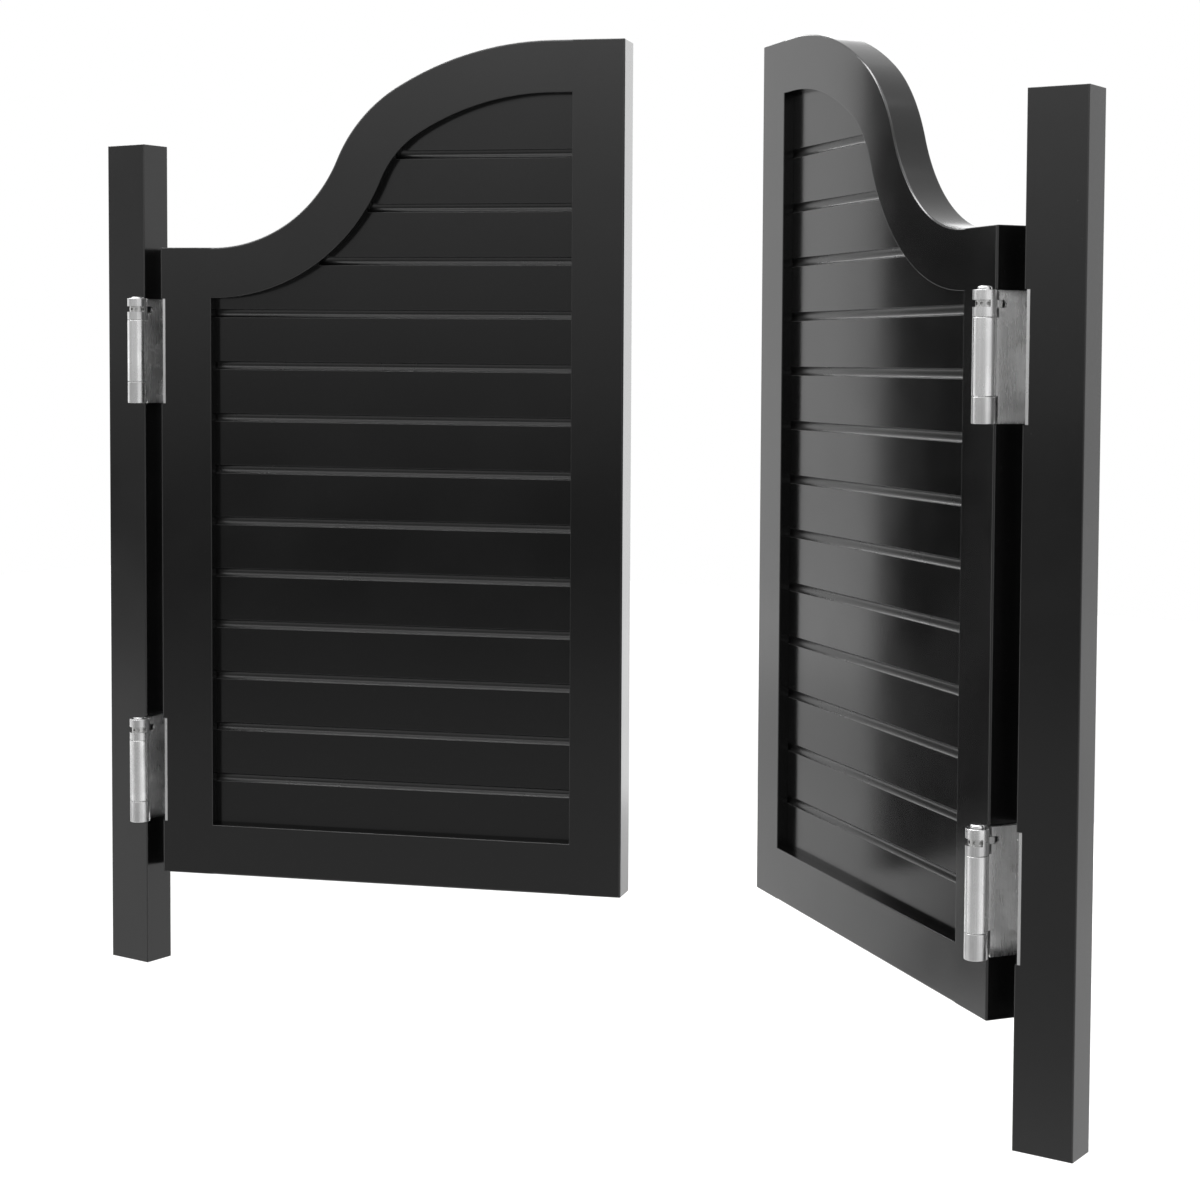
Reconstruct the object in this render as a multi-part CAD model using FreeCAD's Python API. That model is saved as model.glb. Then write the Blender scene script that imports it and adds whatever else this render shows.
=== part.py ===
import FreeCAD, Part
import math
import os

V = FreeCAD.Vector
X_AXIS = V(1, 0, 0)
Y_AXIS = V(0, 1, 0)
Z_AXIS = V(0, 0, 1)
ORIGIN = V(0, 0, 0)

# A pair of half-height swinging doors on double-action spring hinges, hung between two posts.
# Millimetres. +X runs along the doorway from the left post to the right post, +Y away from the side
# that the doors are seen from, +Z up. The origin is the centre of the left post's wall face.

# ---------------------------------------------------------------- posts
POST_WIDTH = 50.0
POST_DEPTH = 30.0
POST_LENGTH = 795.0
POST_EDGE_RADIUS = 1.0

# ---------------------------------------------------------------- doors
DOOR_WIDTH = 460.0
DOOR_THICKNESS = 30.0
DOOR_LOW_HEIGHT = 604.0
DOOR_TALL_HEIGHT = 794.0
DOOR_ABOVE_POST_FOOT = 92.0
DOOR_EDGE_RADIUS = 1.5
HINGE_GAP = 4.5
MEETING_GAP = 6.0

# frame of a door
HINGE_STILE_WIDTH = 52.0
LOCK_STILE_WIDTH = 50.0
TOP_RAIL_WIDTH = 48.0
BOTTOM_RAIL_HEIGHT = 48.0
TENON_THICKNESS = 9.0
TENON_LENGTH = 28.0
TENON_SHOULDER = 9.0
TENON_CLEARANCE = 0.1

# the S-curve of the top rail: a hollow sweep, a tight crown and a flat crest, tangent to each other.
# Both ratios are to the mean radius, which one plain arc in place of crown and crest would have.
SWEEP_RADIUS = 137.0
CROWN_RATIO = 0.561
CREST_RATIO = 1.172
LOW_FLAT = 2.0
HIGH_FLAT = 20.0

# boards that fill the frame, all of one pitch, which the straight side below the shoulder sets
BOARD_THICKNESS = 10.0
FIRST_JOINT_ABOVE_RAIL = 45.5
SHOULDER_ABOVE_LAST_JOINT = 62.3
LOW_JOINT_COUNT = 10
LEAST_TOP_BOARD = 15.0
PANEL_GROOVE_DEPTH = 6.0
PANEL_END_CLEARANCE = 0.5
PANEL_FACE_CLEARANCE = 0.1
BOARD_TONGUE_THICKNESS = 3.2
BOARD_TONGUE_HEIGHT = 5.0
TONGUE_CLEARANCE = 0.15
COVE_RADIUS = 4.6
COVE_CENTRE_PROUD = 2.3

# ---------------------------------------------------------------- hinges
HINGE_LENGTH = 100.0
LOWER_HINGE_ABOVE_DOOR_FOOT = 50.0
UPPER_HINGE_BELOW_SHOULDER = 49.0
BARREL_RADIUS = 9.2
BARREL_WALL = 2.0
BARREL_STANDOFF = 1.4
BARREL_RIM_RADIUS = 0.45
END_KNUCKLE = 20.5
KNUCKLE_GAP = 0.3
KNUCKLE_CAP = 3.0
WEB_DISC = 5.0
LEAF_THICKNESS = 2.5
LEAF_SINK = 2.3
WEB_THICKNESS = 2.5
BARREL_CLEARANCE = 1.0
MORTISE_END_CLEARANCE = 0.3
WEB_CLEARANCE = 2.5
NOTCH_RADIUS = 3.0
NOTCH_REACH = 18.0
LUG_REACH = 14.2
LUG_THICKNESS = 2.4
LUG_CLEARANCE = 0.3

# inside each barrel
PIN_RADIUS = 3.0
PIN_RUNNING_CLEARANCE = 0.05
PIN_SEAT_CLEARANCE = 0.02
PIN_HEAD_RADIUS = 5.6
JAMB_PIN_HEAD_HEIGHT = 1.0
DOOR_PIN_HEAD_HEIGHT = 2.6
PIN_HEAD_DOME_SHARE = 0.6
PIN_FOOT_RADIUS = 4.4
PIN_FOOT_HEIGHT = 1.4
PIN_FOOT_CLEARANCE = 0.1
PIN_END_PLAY = 0.3
COLLAR_CLEARANCE = 0.1
COLLAR_END_CLEARANCE = 0.4
COLLAR_HOLE_RADIUS = 1.3
COLLAR_HOLE_COUNT = 9
COLLAR_HOLE_FLOOR = 1.6
STOP_PIN_CLEARANCE = 0.05
STOP_PIN_SHORT = 1.0
WINDOW_HEIGHT = 5.4
WINDOW_SWEEP = 180.0
STOP_PIN_REST = 0.1
SPRING_WIRE_RADIUS = 0.9
SPRING_TURNS = 12
SPRING_CLEARANCE = 0.3

# wood screws of the leaves
SCREW_SHANK_RADIUS = 1.9
SCREW_HEAD_RADIUS = 3.8
SCREW_LENGTH = 28.0
SCREW_TIP = 5.0
SCREW_COUNT = 4
SCREW_END_MARGIN = 12.0
SCREW_STAGGER = 6.5
SCREW_HOLE_CLEARANCE = 0.05
SCREW_SINK = 0.2
RECESS_WIDTH = 0.9
RECESS_SPAN = 3.8
RECESS_DEPTH = 1.4

# ---------------------------------------------------------------- standing pose
# Both doors stand pushed away from the viewer: the left one has turned on its rear barrels,
# the right one, together with its webs, on the rear barrels of its post.
LEFT_OPEN_ANGLE = 20.5
RIGHT_OPEN_ANGLE = 35.0

# ---------------------------------------------------------------- places that follow from the sizes
DOORWAY = 2 * DOOR_WIDTH + 2 * HINGE_GAP + MEETING_GAP
LEFT_JAMB_X = POST_WIDTH
RIGHT_JAMB_X = POST_WIDTH + DOORWAY
LEFT_HINGE_X = LEFT_JAMB_X + HINGE_GAP / 2
RIGHT_HINGE_X = RIGHT_JAMB_X - HINGE_GAP / 2
PIVOT_Y = max(POST_DEPTH, DOOR_THICKNESS) / 2 + BARREL_STANDOFF + BARREL_RADIUS
POST_FOOT_Z = -POST_LENGTH / 2
DOOR_FOOT_Z = POST_FOOT_Z + DOOR_ABOVE_POST_FOOT
LOWER_HINGE_Z = DOOR_FOOT_Z + LOWER_HINGE_ABOVE_DOOR_FOOT
UPPER_HINGE_Z = DOOR_FOOT_Z + DOOR_LOW_HEIGHT - UPPER_HINGE_BELOW_SHOULDER - HINGE_LENGTH
HINGE_LEVELS = {"upper": UPPER_HINGE_Z, "lower": LOWER_HINGE_Z}
LEAF_FACE_X = HINGE_GAP / 2 + LEAF_SINK
MORTISE_DEPTH = LEAF_SINK + LEAF_THICKNESS
BORE_RADIUS = BARREL_RADIUS - BARREL_WALL
WINDOW_Z = HINGE_LENGTH - END_KNUCKLE / 2
RAIL_START = HINGE_STILE_WIDTH
RAIL_END = DOOR_WIDTH - LOCK_STILE_WIDTH
FIRST_JOINT_Z = BOTTOM_RAIL_HEIGHT + FIRST_JOINT_ABOVE_RAIL
LAST_LOW_JOINT_Z = DOOR_LOW_HEIGHT - SHOULDER_ABOVE_LAST_JOINT
BOARD_PITCH = (LAST_LOW_JOINT_Z - FIRST_JOINT_Z) / (LOW_JOINT_COUNT - 1)
OPENING_HEAD_Z = DOOR_TALL_HEIGHT - TOP_RAIL_WIDTH
JOINT_COUNT = 1 + math.floor((OPENING_HEAD_Z - LEAST_TOP_BOARD - FIRST_JOINT_Z) / BOARD_PITCH)
BOARD_COUNT = JOINT_COUNT + 1
STOP_PIN_FROM_WINDOW_END = math.degrees(math.asin((COLLAR_HOLE_RADIUS + STOP_PIN_REST) / BORE_RADIUS))
STOP_PIN_TURN = STOP_PIN_FROM_WINDOW_END - WINDOW_SWEEP / 2


def box(x0, x1, y0, y1, z0, z1):
    """Box between two opposite corners."""
    return Part.makeBox(x1 - x0, y1 - y0, z1 - z0, V(x0, y0, z0))


def rod(radius, z0, z1, x=0.0, y=0.0):
    """Upright cylinder."""
    return Part.makeCylinder(radius, z1 - z0, V(x, y, z0))


def fillet_where(shape, radius, test):
    """Rounds the edges whose middle point passes the test."""
    edges = []
    for edge in shape.Edges:
        middle = edge.valueAt((edge.FirstParameter + edge.LastParameter) / 2)
        if test(edge, middle):
            edges.append(edge)
    return shape.makeFillet(radius, edges)


def near(a, b):
    """True where two lengths are the same."""
    return abs(a - b) < 1e-4


# ---------------------------------------------------------------- S-curve
def convex_radii():
    """Radii of the crown and the crest, from the run and the rise that the curve has to cover."""
    run = RAIL_END - HIGH_FLAT - RAIL_START - LOW_FLAT
    rise = DOOR_TALL_HEIGHT - DOOR_LOW_HEIGHT
    mean = (run ** 2 + rise ** 2) / (2 * rise) - SWEEP_RADIUS
    return CROWN_RATIO * mean, CREST_RATIO * mean


def curve_centres():
    """Centres of the sweep, crown and crest arcs in the door's plane. The crown touches the sweep from
    outside and lies inside the crest, which gives its centre's distance from both other centres."""
    crown_radius, crest_radius = convex_radii()
    sweep = (RAIL_START + LOW_FLAT, DOOR_LOW_HEIGHT + SWEEP_RADIUS)
    crest = (RAIL_END - HIGH_FLAT, DOOR_TALL_HEIGHT - crest_radius)
    across = crest[0] - sweep[0]
    up = crest[1] - sweep[1]
    span = math.hypot(across, up)
    reach = SWEEP_RADIUS + crown_radius
    along = (reach ** 2 - (crest_radius - crown_radius) ** 2 + span ** 2) / (2 * span)
    aside = math.sqrt(reach ** 2 - along ** 2)
    crown_x = sweep[0] + (along * across - aside * up) / span
    crown_z = sweep[1] + (along * up + aside * across) / span
    return sweep, (crown_x, crown_z), crest


def on_arc(centre, radius, turn, side):
    """Point of an arc at a turn from its level tangent; side is +1 on top of the centre, -1 below."""
    return V(centre[0] - side * radius * math.sin(turn), 0, centre[1] + side * radius * math.cos(turn))


def curve_edges(inset):
    """The S-curve from its high end to its low end, moved down into the rail by inset."""
    crown_radius, crest_radius = convex_radii()
    sweep, crown, crest = curve_centres()
    bend = math.atan2(crown[0] - sweep[0], sweep[1] - crown[1])
    crest_turn = math.atan2(crest[0] - crown[0], crown[1] - crest[1])
    crest_in = crest_radius - inset
    crown_in = crown_radius - inset
    sweep_in = SWEEP_RADIUS + inset
    p0 = on_arc(crest, crest_in, 0, 1)
    p1 = on_arc(crest, crest_in, crest_turn / 2, 1)
    p2 = on_arc(crest, crest_in, crest_turn, 1)
    p3 = on_arc(crown, crown_in, (crest_turn + bend) / 2, 1)
    p4 = on_arc(crown, crown_in, bend, 1)
    p5 = on_arc(sweep, sweep_in, bend / 2, -1)
    p6 = on_arc(sweep, sweep_in, 0, -1)
    arcs = [Part.Arc(p0, p1, p2), Part.Arc(p2, p3, p4), Part.Arc(p4, p5, p6)]
    return [arc.toShape() for arc in arcs], p0, p6


def line(a, b):
    """Straight edge."""
    return Part.makeLine(a, b)


def prism(edges, thickness):
    """Solid of a closed outline in the door's plane, centred on the door's middle."""
    face = Part.Face(Part.Wire(edges))
    face.translate(V(0, -thickness / 2, 0))
    return face.extrude(V(0, thickness, 0))


def rail_outline():
    """Closed outline of the curved top rail between the stiles."""
    upper, upper_high, upper_low = curve_edges(0)
    lower, lower_high, lower_low = curve_edges(TOP_RAIL_WIDTH)
    top_right = V(RAIL_END, 0, upper_high.z)
    low_right = V(RAIL_END, 0, lower_high.z)
    top_left = V(RAIL_START, 0, upper_low.z)
    low_left = V(RAIL_START, 0, lower_low.z)
    ends = [line(top_right, upper_high), line(upper_low, top_left), line(top_left, low_left)]
    ends += [line(low_left, lower_low), line(lower_high, low_right), line(low_right, top_right)]
    return Part.__sortEdges__(upper + lower + ends)


def panel_solid(overlap, thickness):
    """The framed opening, grown by overlap into the frame on every side."""
    top, high, low = curve_edges(TOP_RAIL_WIDTH - overlap)
    right = RAIL_END + overlap
    left = RAIL_START - overlap
    foot = BOTTOM_RAIL_HEIGHT - overlap
    corner_high = V(right, 0, high.z)
    corner_low = V(left, 0, low.z)
    sides = [line(high, corner_high), line(corner_high, V(right, 0, foot))]
    sides += [line(V(right, 0, foot), V(left, 0, foot)), line(V(left, 0, foot), corner_low)]
    sides += [line(corner_low, low)]
    return prism(Part.__sortEdges__(top + sides), thickness)


# ---------------------------------------------------------------- door frame
def tenon_section(z0, z1, growth):
    """Foot, head and half thickness of the tenon of a rail end between two levels."""
    half = TENON_THICKNESS / 2 + growth
    low = z0 + TENON_SHOULDER - growth
    high = z1 - TENON_SHOULDER + growth
    return low, high, half


def tenon_boxes(low_end, high_end, growth):
    """Tenons of one rail: low_end and high_end are the rail's levels at the two stiles."""
    boxes = []
    low, high, half = tenon_section(low_end[0], low_end[1], growth)
    boxes.append(box(RAIL_START - TENON_LENGTH - growth, RAIL_START, -half, half, low, high))
    low, high, half = tenon_section(high_end[0], high_end[1], growth)
    boxes.append(box(RAIL_END, RAIL_END + TENON_LENGTH + growth, -half, half, low, high))
    return boxes


def rail_levels():
    """Foot and head of each rail where it meets the hinge stile and the lock stile."""
    bottom = (0.0, BOTTOM_RAIL_HEIGHT)
    top_low = (DOOR_LOW_HEIGHT - TOP_RAIL_WIDTH, DOOR_LOW_HEIGHT)
    top_high = (DOOR_TALL_HEIGHT - TOP_RAIL_WIDTH, DOOR_TALL_HEIGHT)
    return {"bottom": (bottom, bottom), "top": (top_low, top_high)}


def all_mortises():
    """The spaces that the tenons of both rails need."""
    boxes = []
    for low_end, high_end in rail_levels().values():
        boxes += tenon_boxes(low_end, high_end, TENON_CLEARANCE)
    return boxes


def panel_groove():
    """The space that the edges of the boards need in the frame."""
    return panel_solid(PANEL_GROOVE_DEPTH, BOARD_THICKNESS + 2 * PANEL_FACE_CLEARANCE)


def hinge_stile(stagger):
    """Short stile with the leaf mortises of both hinges and their screw holes, staggered as the leaf is."""
    half = DOOR_THICKNESS / 2
    body = box(0, HINGE_STILE_WIDTH, -half, half, 0, DOOR_LOW_HEIGHT)
    body = fillet_where(body, DOOR_EDGE_RADIUS, lambda e, p: outer_edge(p, 0, DOOR_LOW_HEIGHT))
    cuts = all_mortises() + [panel_groove()]
    for level in HINGE_LEVELS.values():
        foot = level - DOOR_FOOT_Z
        cuts.append(leaf_mortise(0, 1, half, foot))
        cuts += screw_holes(1, stagger, foot)
    return body.cut(cuts)


def outer_edge(p, outer_u, top):
    """True for the long edges of a stile on its outer side, its foot and its head."""
    on_face = near(abs(p.y), DOOR_THICKNESS / 2)
    return on_face and (near(p.x, outer_u) or near(p.z, 0) or near(p.z, top))


def lock_stile():
    """Tall stile at the meeting side."""
    half = DOOR_THICKNESS / 2
    body = box(RAIL_END, DOOR_WIDTH, -half, half, 0, DOOR_TALL_HEIGHT)
    body = fillet_where(body, DOOR_EDGE_RADIUS, lambda e, p: outer_edge(p, DOOR_WIDTH, DOOR_TALL_HEIGHT))
    return body.cut(all_mortises() + [panel_groove()])


def bottom_rail():
    """Straight rail under the boards."""
    half = DOOR_THICKNESS / 2
    body = box(RAIL_START, RAIL_END, -half, half, 0, BOTTOM_RAIL_HEIGHT)
    body = fillet_where(body, DOOR_EDGE_RADIUS, lambda e, p: near(abs(p.y), half) and near(p.z, 0))
    low_end, high_end = rail_levels()["bottom"]
    return body.fuse(tenon_boxes(low_end, high_end, 0)).cut(panel_groove()).removeSplitter()


def top_rail():
    """S-curved rail over the boards."""
    half = DOOR_THICKNESS / 2
    body = prism(rail_outline(), DOOR_THICKNESS)
    upper, high, low = curve_edges(0)
    crest_line = [line(high, V(RAIL_END, 0, high.z)), line(low, V(RAIL_START, 0, low.z))]
    rim = Part.Compound(upper + crest_line)

    def on_rim(edge, p):
        if not near(abs(p.y), half):
            return False
        return rim.distToShape(Part.Vertex(V(p.x, 0, p.z)))[0] < 1e-3

    body = fillet_where(body, DOOR_EDGE_RADIUS, on_rim)
    low_end, high_end = rail_levels()["top"]
    return body.fuse(tenon_boxes(low_end, high_end, 0)).cut(panel_groove()).removeSplitter()


# ---------------------------------------------------------------- boards
def joint_level(number):
    """Level of the joint on top of the board with this number, from 1 upwards."""
    return FIRST_JOINT_Z + (number - 1) * BOARD_PITCH


def cove(level):
    """Half-round groove along a joint on both faces."""
    start = RAIL_START - PANEL_GROOVE_DEPTH
    length = RAIL_END - RAIL_START + 2 * PANEL_GROOVE_DEPTH
    offset = BOARD_THICKNESS / 2 + COVE_CENTRE_PROUD
    cuts = []
    for side in (-1, 1):
        cuts.append(Part.makeCylinder(COVE_RADIUS, length, V(start, side * offset, level), X_AXIS))
    return cuts


def board(number, outline):
    """One board, with a tongue on top and a groove underneath, cut to the frame's outline."""
    half = BOARD_THICKNESS / 2
    left = RAIL_START - PANEL_GROOVE_DEPTH
    right = RAIL_END + PANEL_GROOVE_DEPTH
    first = number == 1
    last = number == BOARD_COUNT
    z0 = 0.0 if first else joint_level(number - 1)
    z1 = DOOR_TALL_HEIGHT if last else joint_level(number)
    body = box(left, right, -half, half, z0, z1)
    if not last:
        tongue = BOARD_TONGUE_THICKNESS / 2
        body = body.fuse(box(left, right, -tongue, tongue, z1, z1 + BOARD_TONGUE_HEIGHT))
        body = body.cut(cove(z1))
    if not first:
        slot = BOARD_TONGUE_THICKNESS / 2 + TONGUE_CLEARANCE
        depth = BOARD_TONGUE_HEIGHT + TONGUE_CLEARANCE
        body = body.cut([box(left, right, -slot, slot, z0, z0 + depth)] + cove(z0))
    return body.common(outline).removeSplitter()


def boards():
    """All boards of one door, from the foot up."""
    outline = panel_solid(PANEL_GROOVE_DEPTH - PANEL_END_CLEARANCE, BOARD_THICKNESS)
    return [board(number, outline) for number in range(1, BOARD_COUNT + 1)]


# ---------------------------------------------------------------- hinge
# A hinge stands with its foot at level 0 and its middle plane at x = 0. Its front barrel is at
# -PIVOT_Y and its rear barrel at +PIVOT_Y. The front leaf lies on the -X side, the rear leaf on +X.
def barrel(z0, z1, y):
    """Solid knuckle with rounded rims."""
    return fillet_where(rod(BARREL_RADIUS, z0, z1, 0, y), BARREL_RIM_RADIUS, is_rim)


def is_rim(edge, p):
    """True for a full circle."""
    return edge.isClosed() and hasattr(edge.Curve, "Radius")


def window(y):
    """Slot in the wall of the top knuckle, open to the front."""
    foot = V(0, y, WINDOW_Z - WINDOW_HEIGHT / 2)
    wedge = Part.makeCylinder(2 * BARREL_RADIUS, WINDOW_HEIGHT, foot, Z_AXIS, WINDOW_SWEEP)
    wedge.rotate(foot, Z_AXIS, -90 - WINDOW_SWEEP / 2)
    return wedge


def lug(y):
    """Lug of the front barrel's top knuckle, which lies in the web's notch."""
    half = LUG_THICKNESS / 2
    rise = NOTCH_RADIUS - LUG_CLEARANCE
    return box(-half, half, y, y + LUG_REACH, WINDOW_Z - rise, WINDOW_Z + rise)


def front_leaf(seat_depth, has_lug=False):
    """Leaf of the front barrel, with its plate across a seat of this depth."""
    y = -PIVOT_Y
    far = seat_depth / 2
    plate = box(-LEAF_FACE_X - LEAF_THICKNESS, -LEAF_FACE_X, y, far, 0, HINGE_LENGTH)
    top_foot = HINGE_LENGTH - END_KNUCKLE + KNUCKLE_GAP / 2
    low_head = END_KNUCKLE - KNUCKLE_GAP / 2
    middle = rod(BARREL_RADIUS + BARREL_CLEARANCE, low_head, top_foot, 0, y)
    plate = plate.cut([middle, box(-BARREL_RADIUS, 0, y - 1, y + KNUCKLE_GAP, low_head, top_foot)])
    knuckles = [barrel(0, low_head, y), barrel(top_foot, HINGE_LENGTH, y)]
    if has_lug:
        knuckles.append(lug(y))
    body = plate.fuse(knuckles)
    pin_hole = rod(PIN_RADIUS + PIN_RUNNING_CLEARANCE, -1, HINGE_LENGTH + 1, 0, y)
    chamber = rod(BORE_RADIUS, top_foot, HINGE_LENGTH - KNUCKLE_CAP, 0, y)
    seat_head = PIN_FOOT_HEIGHT + 2 * PIN_END_PLAY
    foot_seat = rod(PIN_FOOT_RADIUS + PIN_FOOT_CLEARANCE, -1, seat_head, 0, y)
    body = body.cut([pin_hole, chamber, foot_seat, window(y)])
    return body.cut(screw_sinks()).removeSplitter()


def half_turn(shape):
    """The same shape turned to the rear barrel's side."""
    turned = shape.copy()
    turned.rotate(ORIGIN, Z_AXIS, 180)
    return turned


def web():
    """Middle plate with the long middle knuckle of both barrels."""
    half = WEB_THICKNESS / 2
    low = END_KNUCKLE + KNUCKLE_GAP / 2
    high = HINGE_LENGTH - low
    plate = box(-half, half, -PIVOT_Y, PIVOT_Y, 0, HINGE_LENGTH)
    cuts = []
    for y in (-PIVOT_Y, PIVOT_Y):
        clear = BARREL_RADIUS + WEB_CLEARANCE
        cuts += [rod(clear, -1, low, 0, y), rod(clear, high, HINGE_LENGTH + 1, 0, y)]
        end = y - math.copysign(NOTCH_REACH - NOTCH_RADIUS, y)
        cuts.append(Part.makeCylinder(NOTCH_RADIUS, 2 * half, V(-half, end, WINDOW_Z), X_AXIS))
        near, far = sorted((y, end))
        cuts.append(box(-half, half, near, far, WINDOW_Z - NOTCH_RADIUS, WINDOW_Z + NOTCH_RADIUS))
    body = plate.cut(cuts)
    body = body.fuse([barrel(low, high, -PIVOT_Y), barrel(low, high, PIVOT_Y)])
    bores = []
    for y in (-PIVOT_Y, PIVOT_Y):
        bores.append(rod(BORE_RADIUS, low + WEB_DISC, high, 0, y))
        bores.append(rod(PIN_RADIUS + PIN_SEAT_CLEARANCE, low - 1, high, 0, y))
    return body.cut(bores).removeSplitter()


def pivot_pin(y, head_height):
    """Pin of one barrel, with a domed head on top and a riveted foot sunk in the bottom knuckle."""
    foot = PIN_END_PLAY
    head = HINGE_LENGTH + PIN_END_PLAY
    dome = PIN_HEAD_DOME_SHARE * head_height
    shank = rod(PIN_RADIUS, foot, head, 0, y)
    cap = rod(PIN_HEAD_RADIUS, head, head + head_height, 0, y)
    cap = fillet_where(cap, dome, lambda e, p: is_rim(e, p) and p.z > head + head_height / 2)
    rivet = rod(PIN_FOOT_RADIUS, foot, foot + PIN_FOOT_HEIGHT, 0, y)
    return shank.fuse([cap, rivet]).removeSplitter()


def collar_direction(number):
    """Direction of one hole of the collar. The first one holds the stop pin."""
    turn = math.radians(STOP_PIN_TURN) + number * 2 * math.pi / COLLAR_HOLE_COUNT
    return V(math.sin(turn), -math.cos(turn), 0)


def collar(y):
    """Tension collar in the top knuckle of the front barrel, with a ring of tommy-bar holes."""
    foot = HINGE_LENGTH - END_KNUCKLE + KNUCKLE_GAP + COLLAR_END_CLEARANCE
    head = HINGE_LENGTH - KNUCKLE_CAP - COLLAR_END_CLEARANCE
    body = rod(BORE_RADIUS - COLLAR_CLEARANCE, foot, head, 0, y)
    cuts = [rod(PIN_RADIUS + PIN_RUNNING_CLEARANCE, foot - 1, head + 1, 0, y)]
    inner = PIN_RADIUS + COLLAR_HOLE_FLOOR
    for number in range(COLLAR_HOLE_COUNT):
        out = collar_direction(number)
        start = V(0, y, WINDOW_Z) + out * inner
        cuts.append(Part.makeCylinder(COLLAR_HOLE_RADIUS, BARREL_RADIUS, start, out))
    return body.cut(cuts)


def stop_pin(y):
    """Pin in one hole of the collar that rests against the end of the window."""
    inner = PIN_RADIUS + COLLAR_HOLE_FLOOR
    out = collar_direction(0)
    length = BARREL_RADIUS - STOP_PIN_SHORT - inner
    start = V(0, y, WINDOW_Z) + out * inner
    return Part.makeCylinder(COLLAR_HOLE_RADIUS - STOP_PIN_CLEARANCE, length, start, out)


def tension_set():
    """Collar and stop pin of the front barrel."""
    return [collar(-PIVOT_Y), stop_pin(-PIVOT_Y)]


def spring(y):
    """Torsion spring round the pin inside the middle knuckle."""
    foot = END_KNUCKLE + KNUCKLE_GAP / 2 + WEB_DISC + SPRING_CLEARANCE + SPRING_WIRE_RADIUS
    head = HINGE_LENGTH - END_KNUCKLE - KNUCKLE_GAP / 2 - SPRING_CLEARANCE - SPRING_WIRE_RADIUS
    radius = BORE_RADIUS - SPRING_CLEARANCE - SPRING_WIRE_RADIUS
    pitch = (head - foot) / SPRING_TURNS
    helix = Part.makeHelix(pitch, head - foot, radius)
    circle = Part.Wire(Part.makeCircle(SPRING_WIRE_RADIUS, V(radius, 0, 0), Y_AXIS))
    coil = Part.Wire(helix.Edges).makePipeShell([circle], True, True)
    coil.translate(V(0, y, foot))
    return coil


# ---------------------------------------------------------------- screws
def screw_spots():
    """Place of each screw across and up a leaf, staggered about the leaf's middle."""
    spots = []
    step = (HINGE_LENGTH - 2 * SCREW_END_MARGIN) / (SCREW_COUNT - 1)
    for number in range(SCREW_COUNT):
        side = 1 if number % 2 else -1
        spots.append((side * SCREW_STAGGER, SCREW_END_MARGIN + number * step))
    return spots


def screw():
    """Countersunk wood screw along -X, with the top of its head at x = 0."""
    slope = SCREW_HEAD_RADIUS - SCREW_SHANK_RADIUS
    shank_end = SCREW_LENGTH - SCREW_TIP
    profile = [V(0, 0, 0), V(0, SCREW_HEAD_RADIUS, 0), V(-slope, SCREW_SHANK_RADIUS, 0)]
    profile += [V(-shank_end, SCREW_SHANK_RADIUS, 0), V(-SCREW_LENGTH, 0, 0), V(0, 0, 0)]
    body = Part.Face(Part.makePolygon(profile)).revolve(ORIGIN, X_AXIS, 360)
    half = RECESS_WIDTH / 2
    reach = RECESS_SPAN / 2
    upright = box(-RECESS_DEPTH, 1, -half, half, -reach, reach)
    level = box(-RECESS_DEPTH, 1, -reach, reach, -half, half)
    return body.cut([upright, level])


def screw_sinks():
    """Countersunk holes in the front leaf."""
    cuts = []
    slope = SCREW_HEAD_RADIUS - SCREW_SHANK_RADIUS
    for y, z in screw_spots():
        top = V(-LEAF_FACE_X, y, z)
        grown = SCREW_SHANK_RADIUS + SCREW_HOLE_CLEARANCE
        cuts.append(Part.makeCylinder(grown, 2 * LEAF_THICKNESS, top + V(1, 0, 0), V(-1, 0, 0)))
        cone = Part.makeCone(SCREW_HEAD_RADIUS + SCREW_HOLE_CLEARANCE + SCREW_SINK, grown,
                             slope + SCREW_SINK, top, V(-1, 0, 0))
        cuts.append(cone)
    return cuts


def leaf_screws():
    """The screws of the front leaf."""
    screws = []
    for y, z in screw_spots():
        one = screw()
        one.translate(V(-LEAF_FACE_X - SCREW_SINK, y, z))
        screws.append(one)
    return screws


def screw_holes(direction, stagger, foot):
    """Holes in the wood under a leaf; direction is +1 where the wood lies on the +X side, and
    stagger is +1 under a front leaf and -1 under a rear leaf."""
    cuts = []
    radius = SCREW_SHANK_RADIUS + SCREW_HOLE_CLEARANCE
    depth = SCREW_LENGTH - LEAF_THICKNESS + SCREW_SINK + SCREW_HOLE_CLEARANCE
    for y, z in screw_spots():
        start = V(direction * MORTISE_DEPTH, stagger * y, foot + z)
        cuts.append(Part.makeCylinder(radius, depth, start, X_AXIS * direction))
    return cuts


def leaf_mortise(edge, direction, half, foot):
    """Housing for a leaf in the wood, right through from face to face."""
    low = foot - MORTISE_END_CLEARANCE
    high = foot + HINGE_LENGTH + MORTISE_END_CLEARANCE
    if direction > 0:
        return box(edge - 1, edge + MORTISE_DEPTH, -half - 1, half + 1, low, high)
    return box(edge - MORTISE_DEPTH, edge + 1, -half - 1, half + 1, low, high)


# ---------------------------------------------------------------- posts
def post(direction):
    """Post whose jamb face is at x = 0 and whose wood lies on the side given by direction."""
    half = POST_DEPTH / 2
    low = min(0, direction * POST_WIDTH)
    body = box(low, low + POST_WIDTH, -half, half, POST_FOOT_Z, POST_FOOT_Z + POST_LENGTH)
    body = fillet_where(body, POST_EDGE_RADIUS, lambda e, p: abs(p.z - POST_FOOT_Z - POST_LENGTH / 2) < 1)
    cuts = []
    for level in HINGE_LEVELS.values():
        cuts.append(leaf_mortise(0, direction, half, level))
        cuts += screw_holes(direction, -direction, level)
    return body.cut(cuts)


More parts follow.
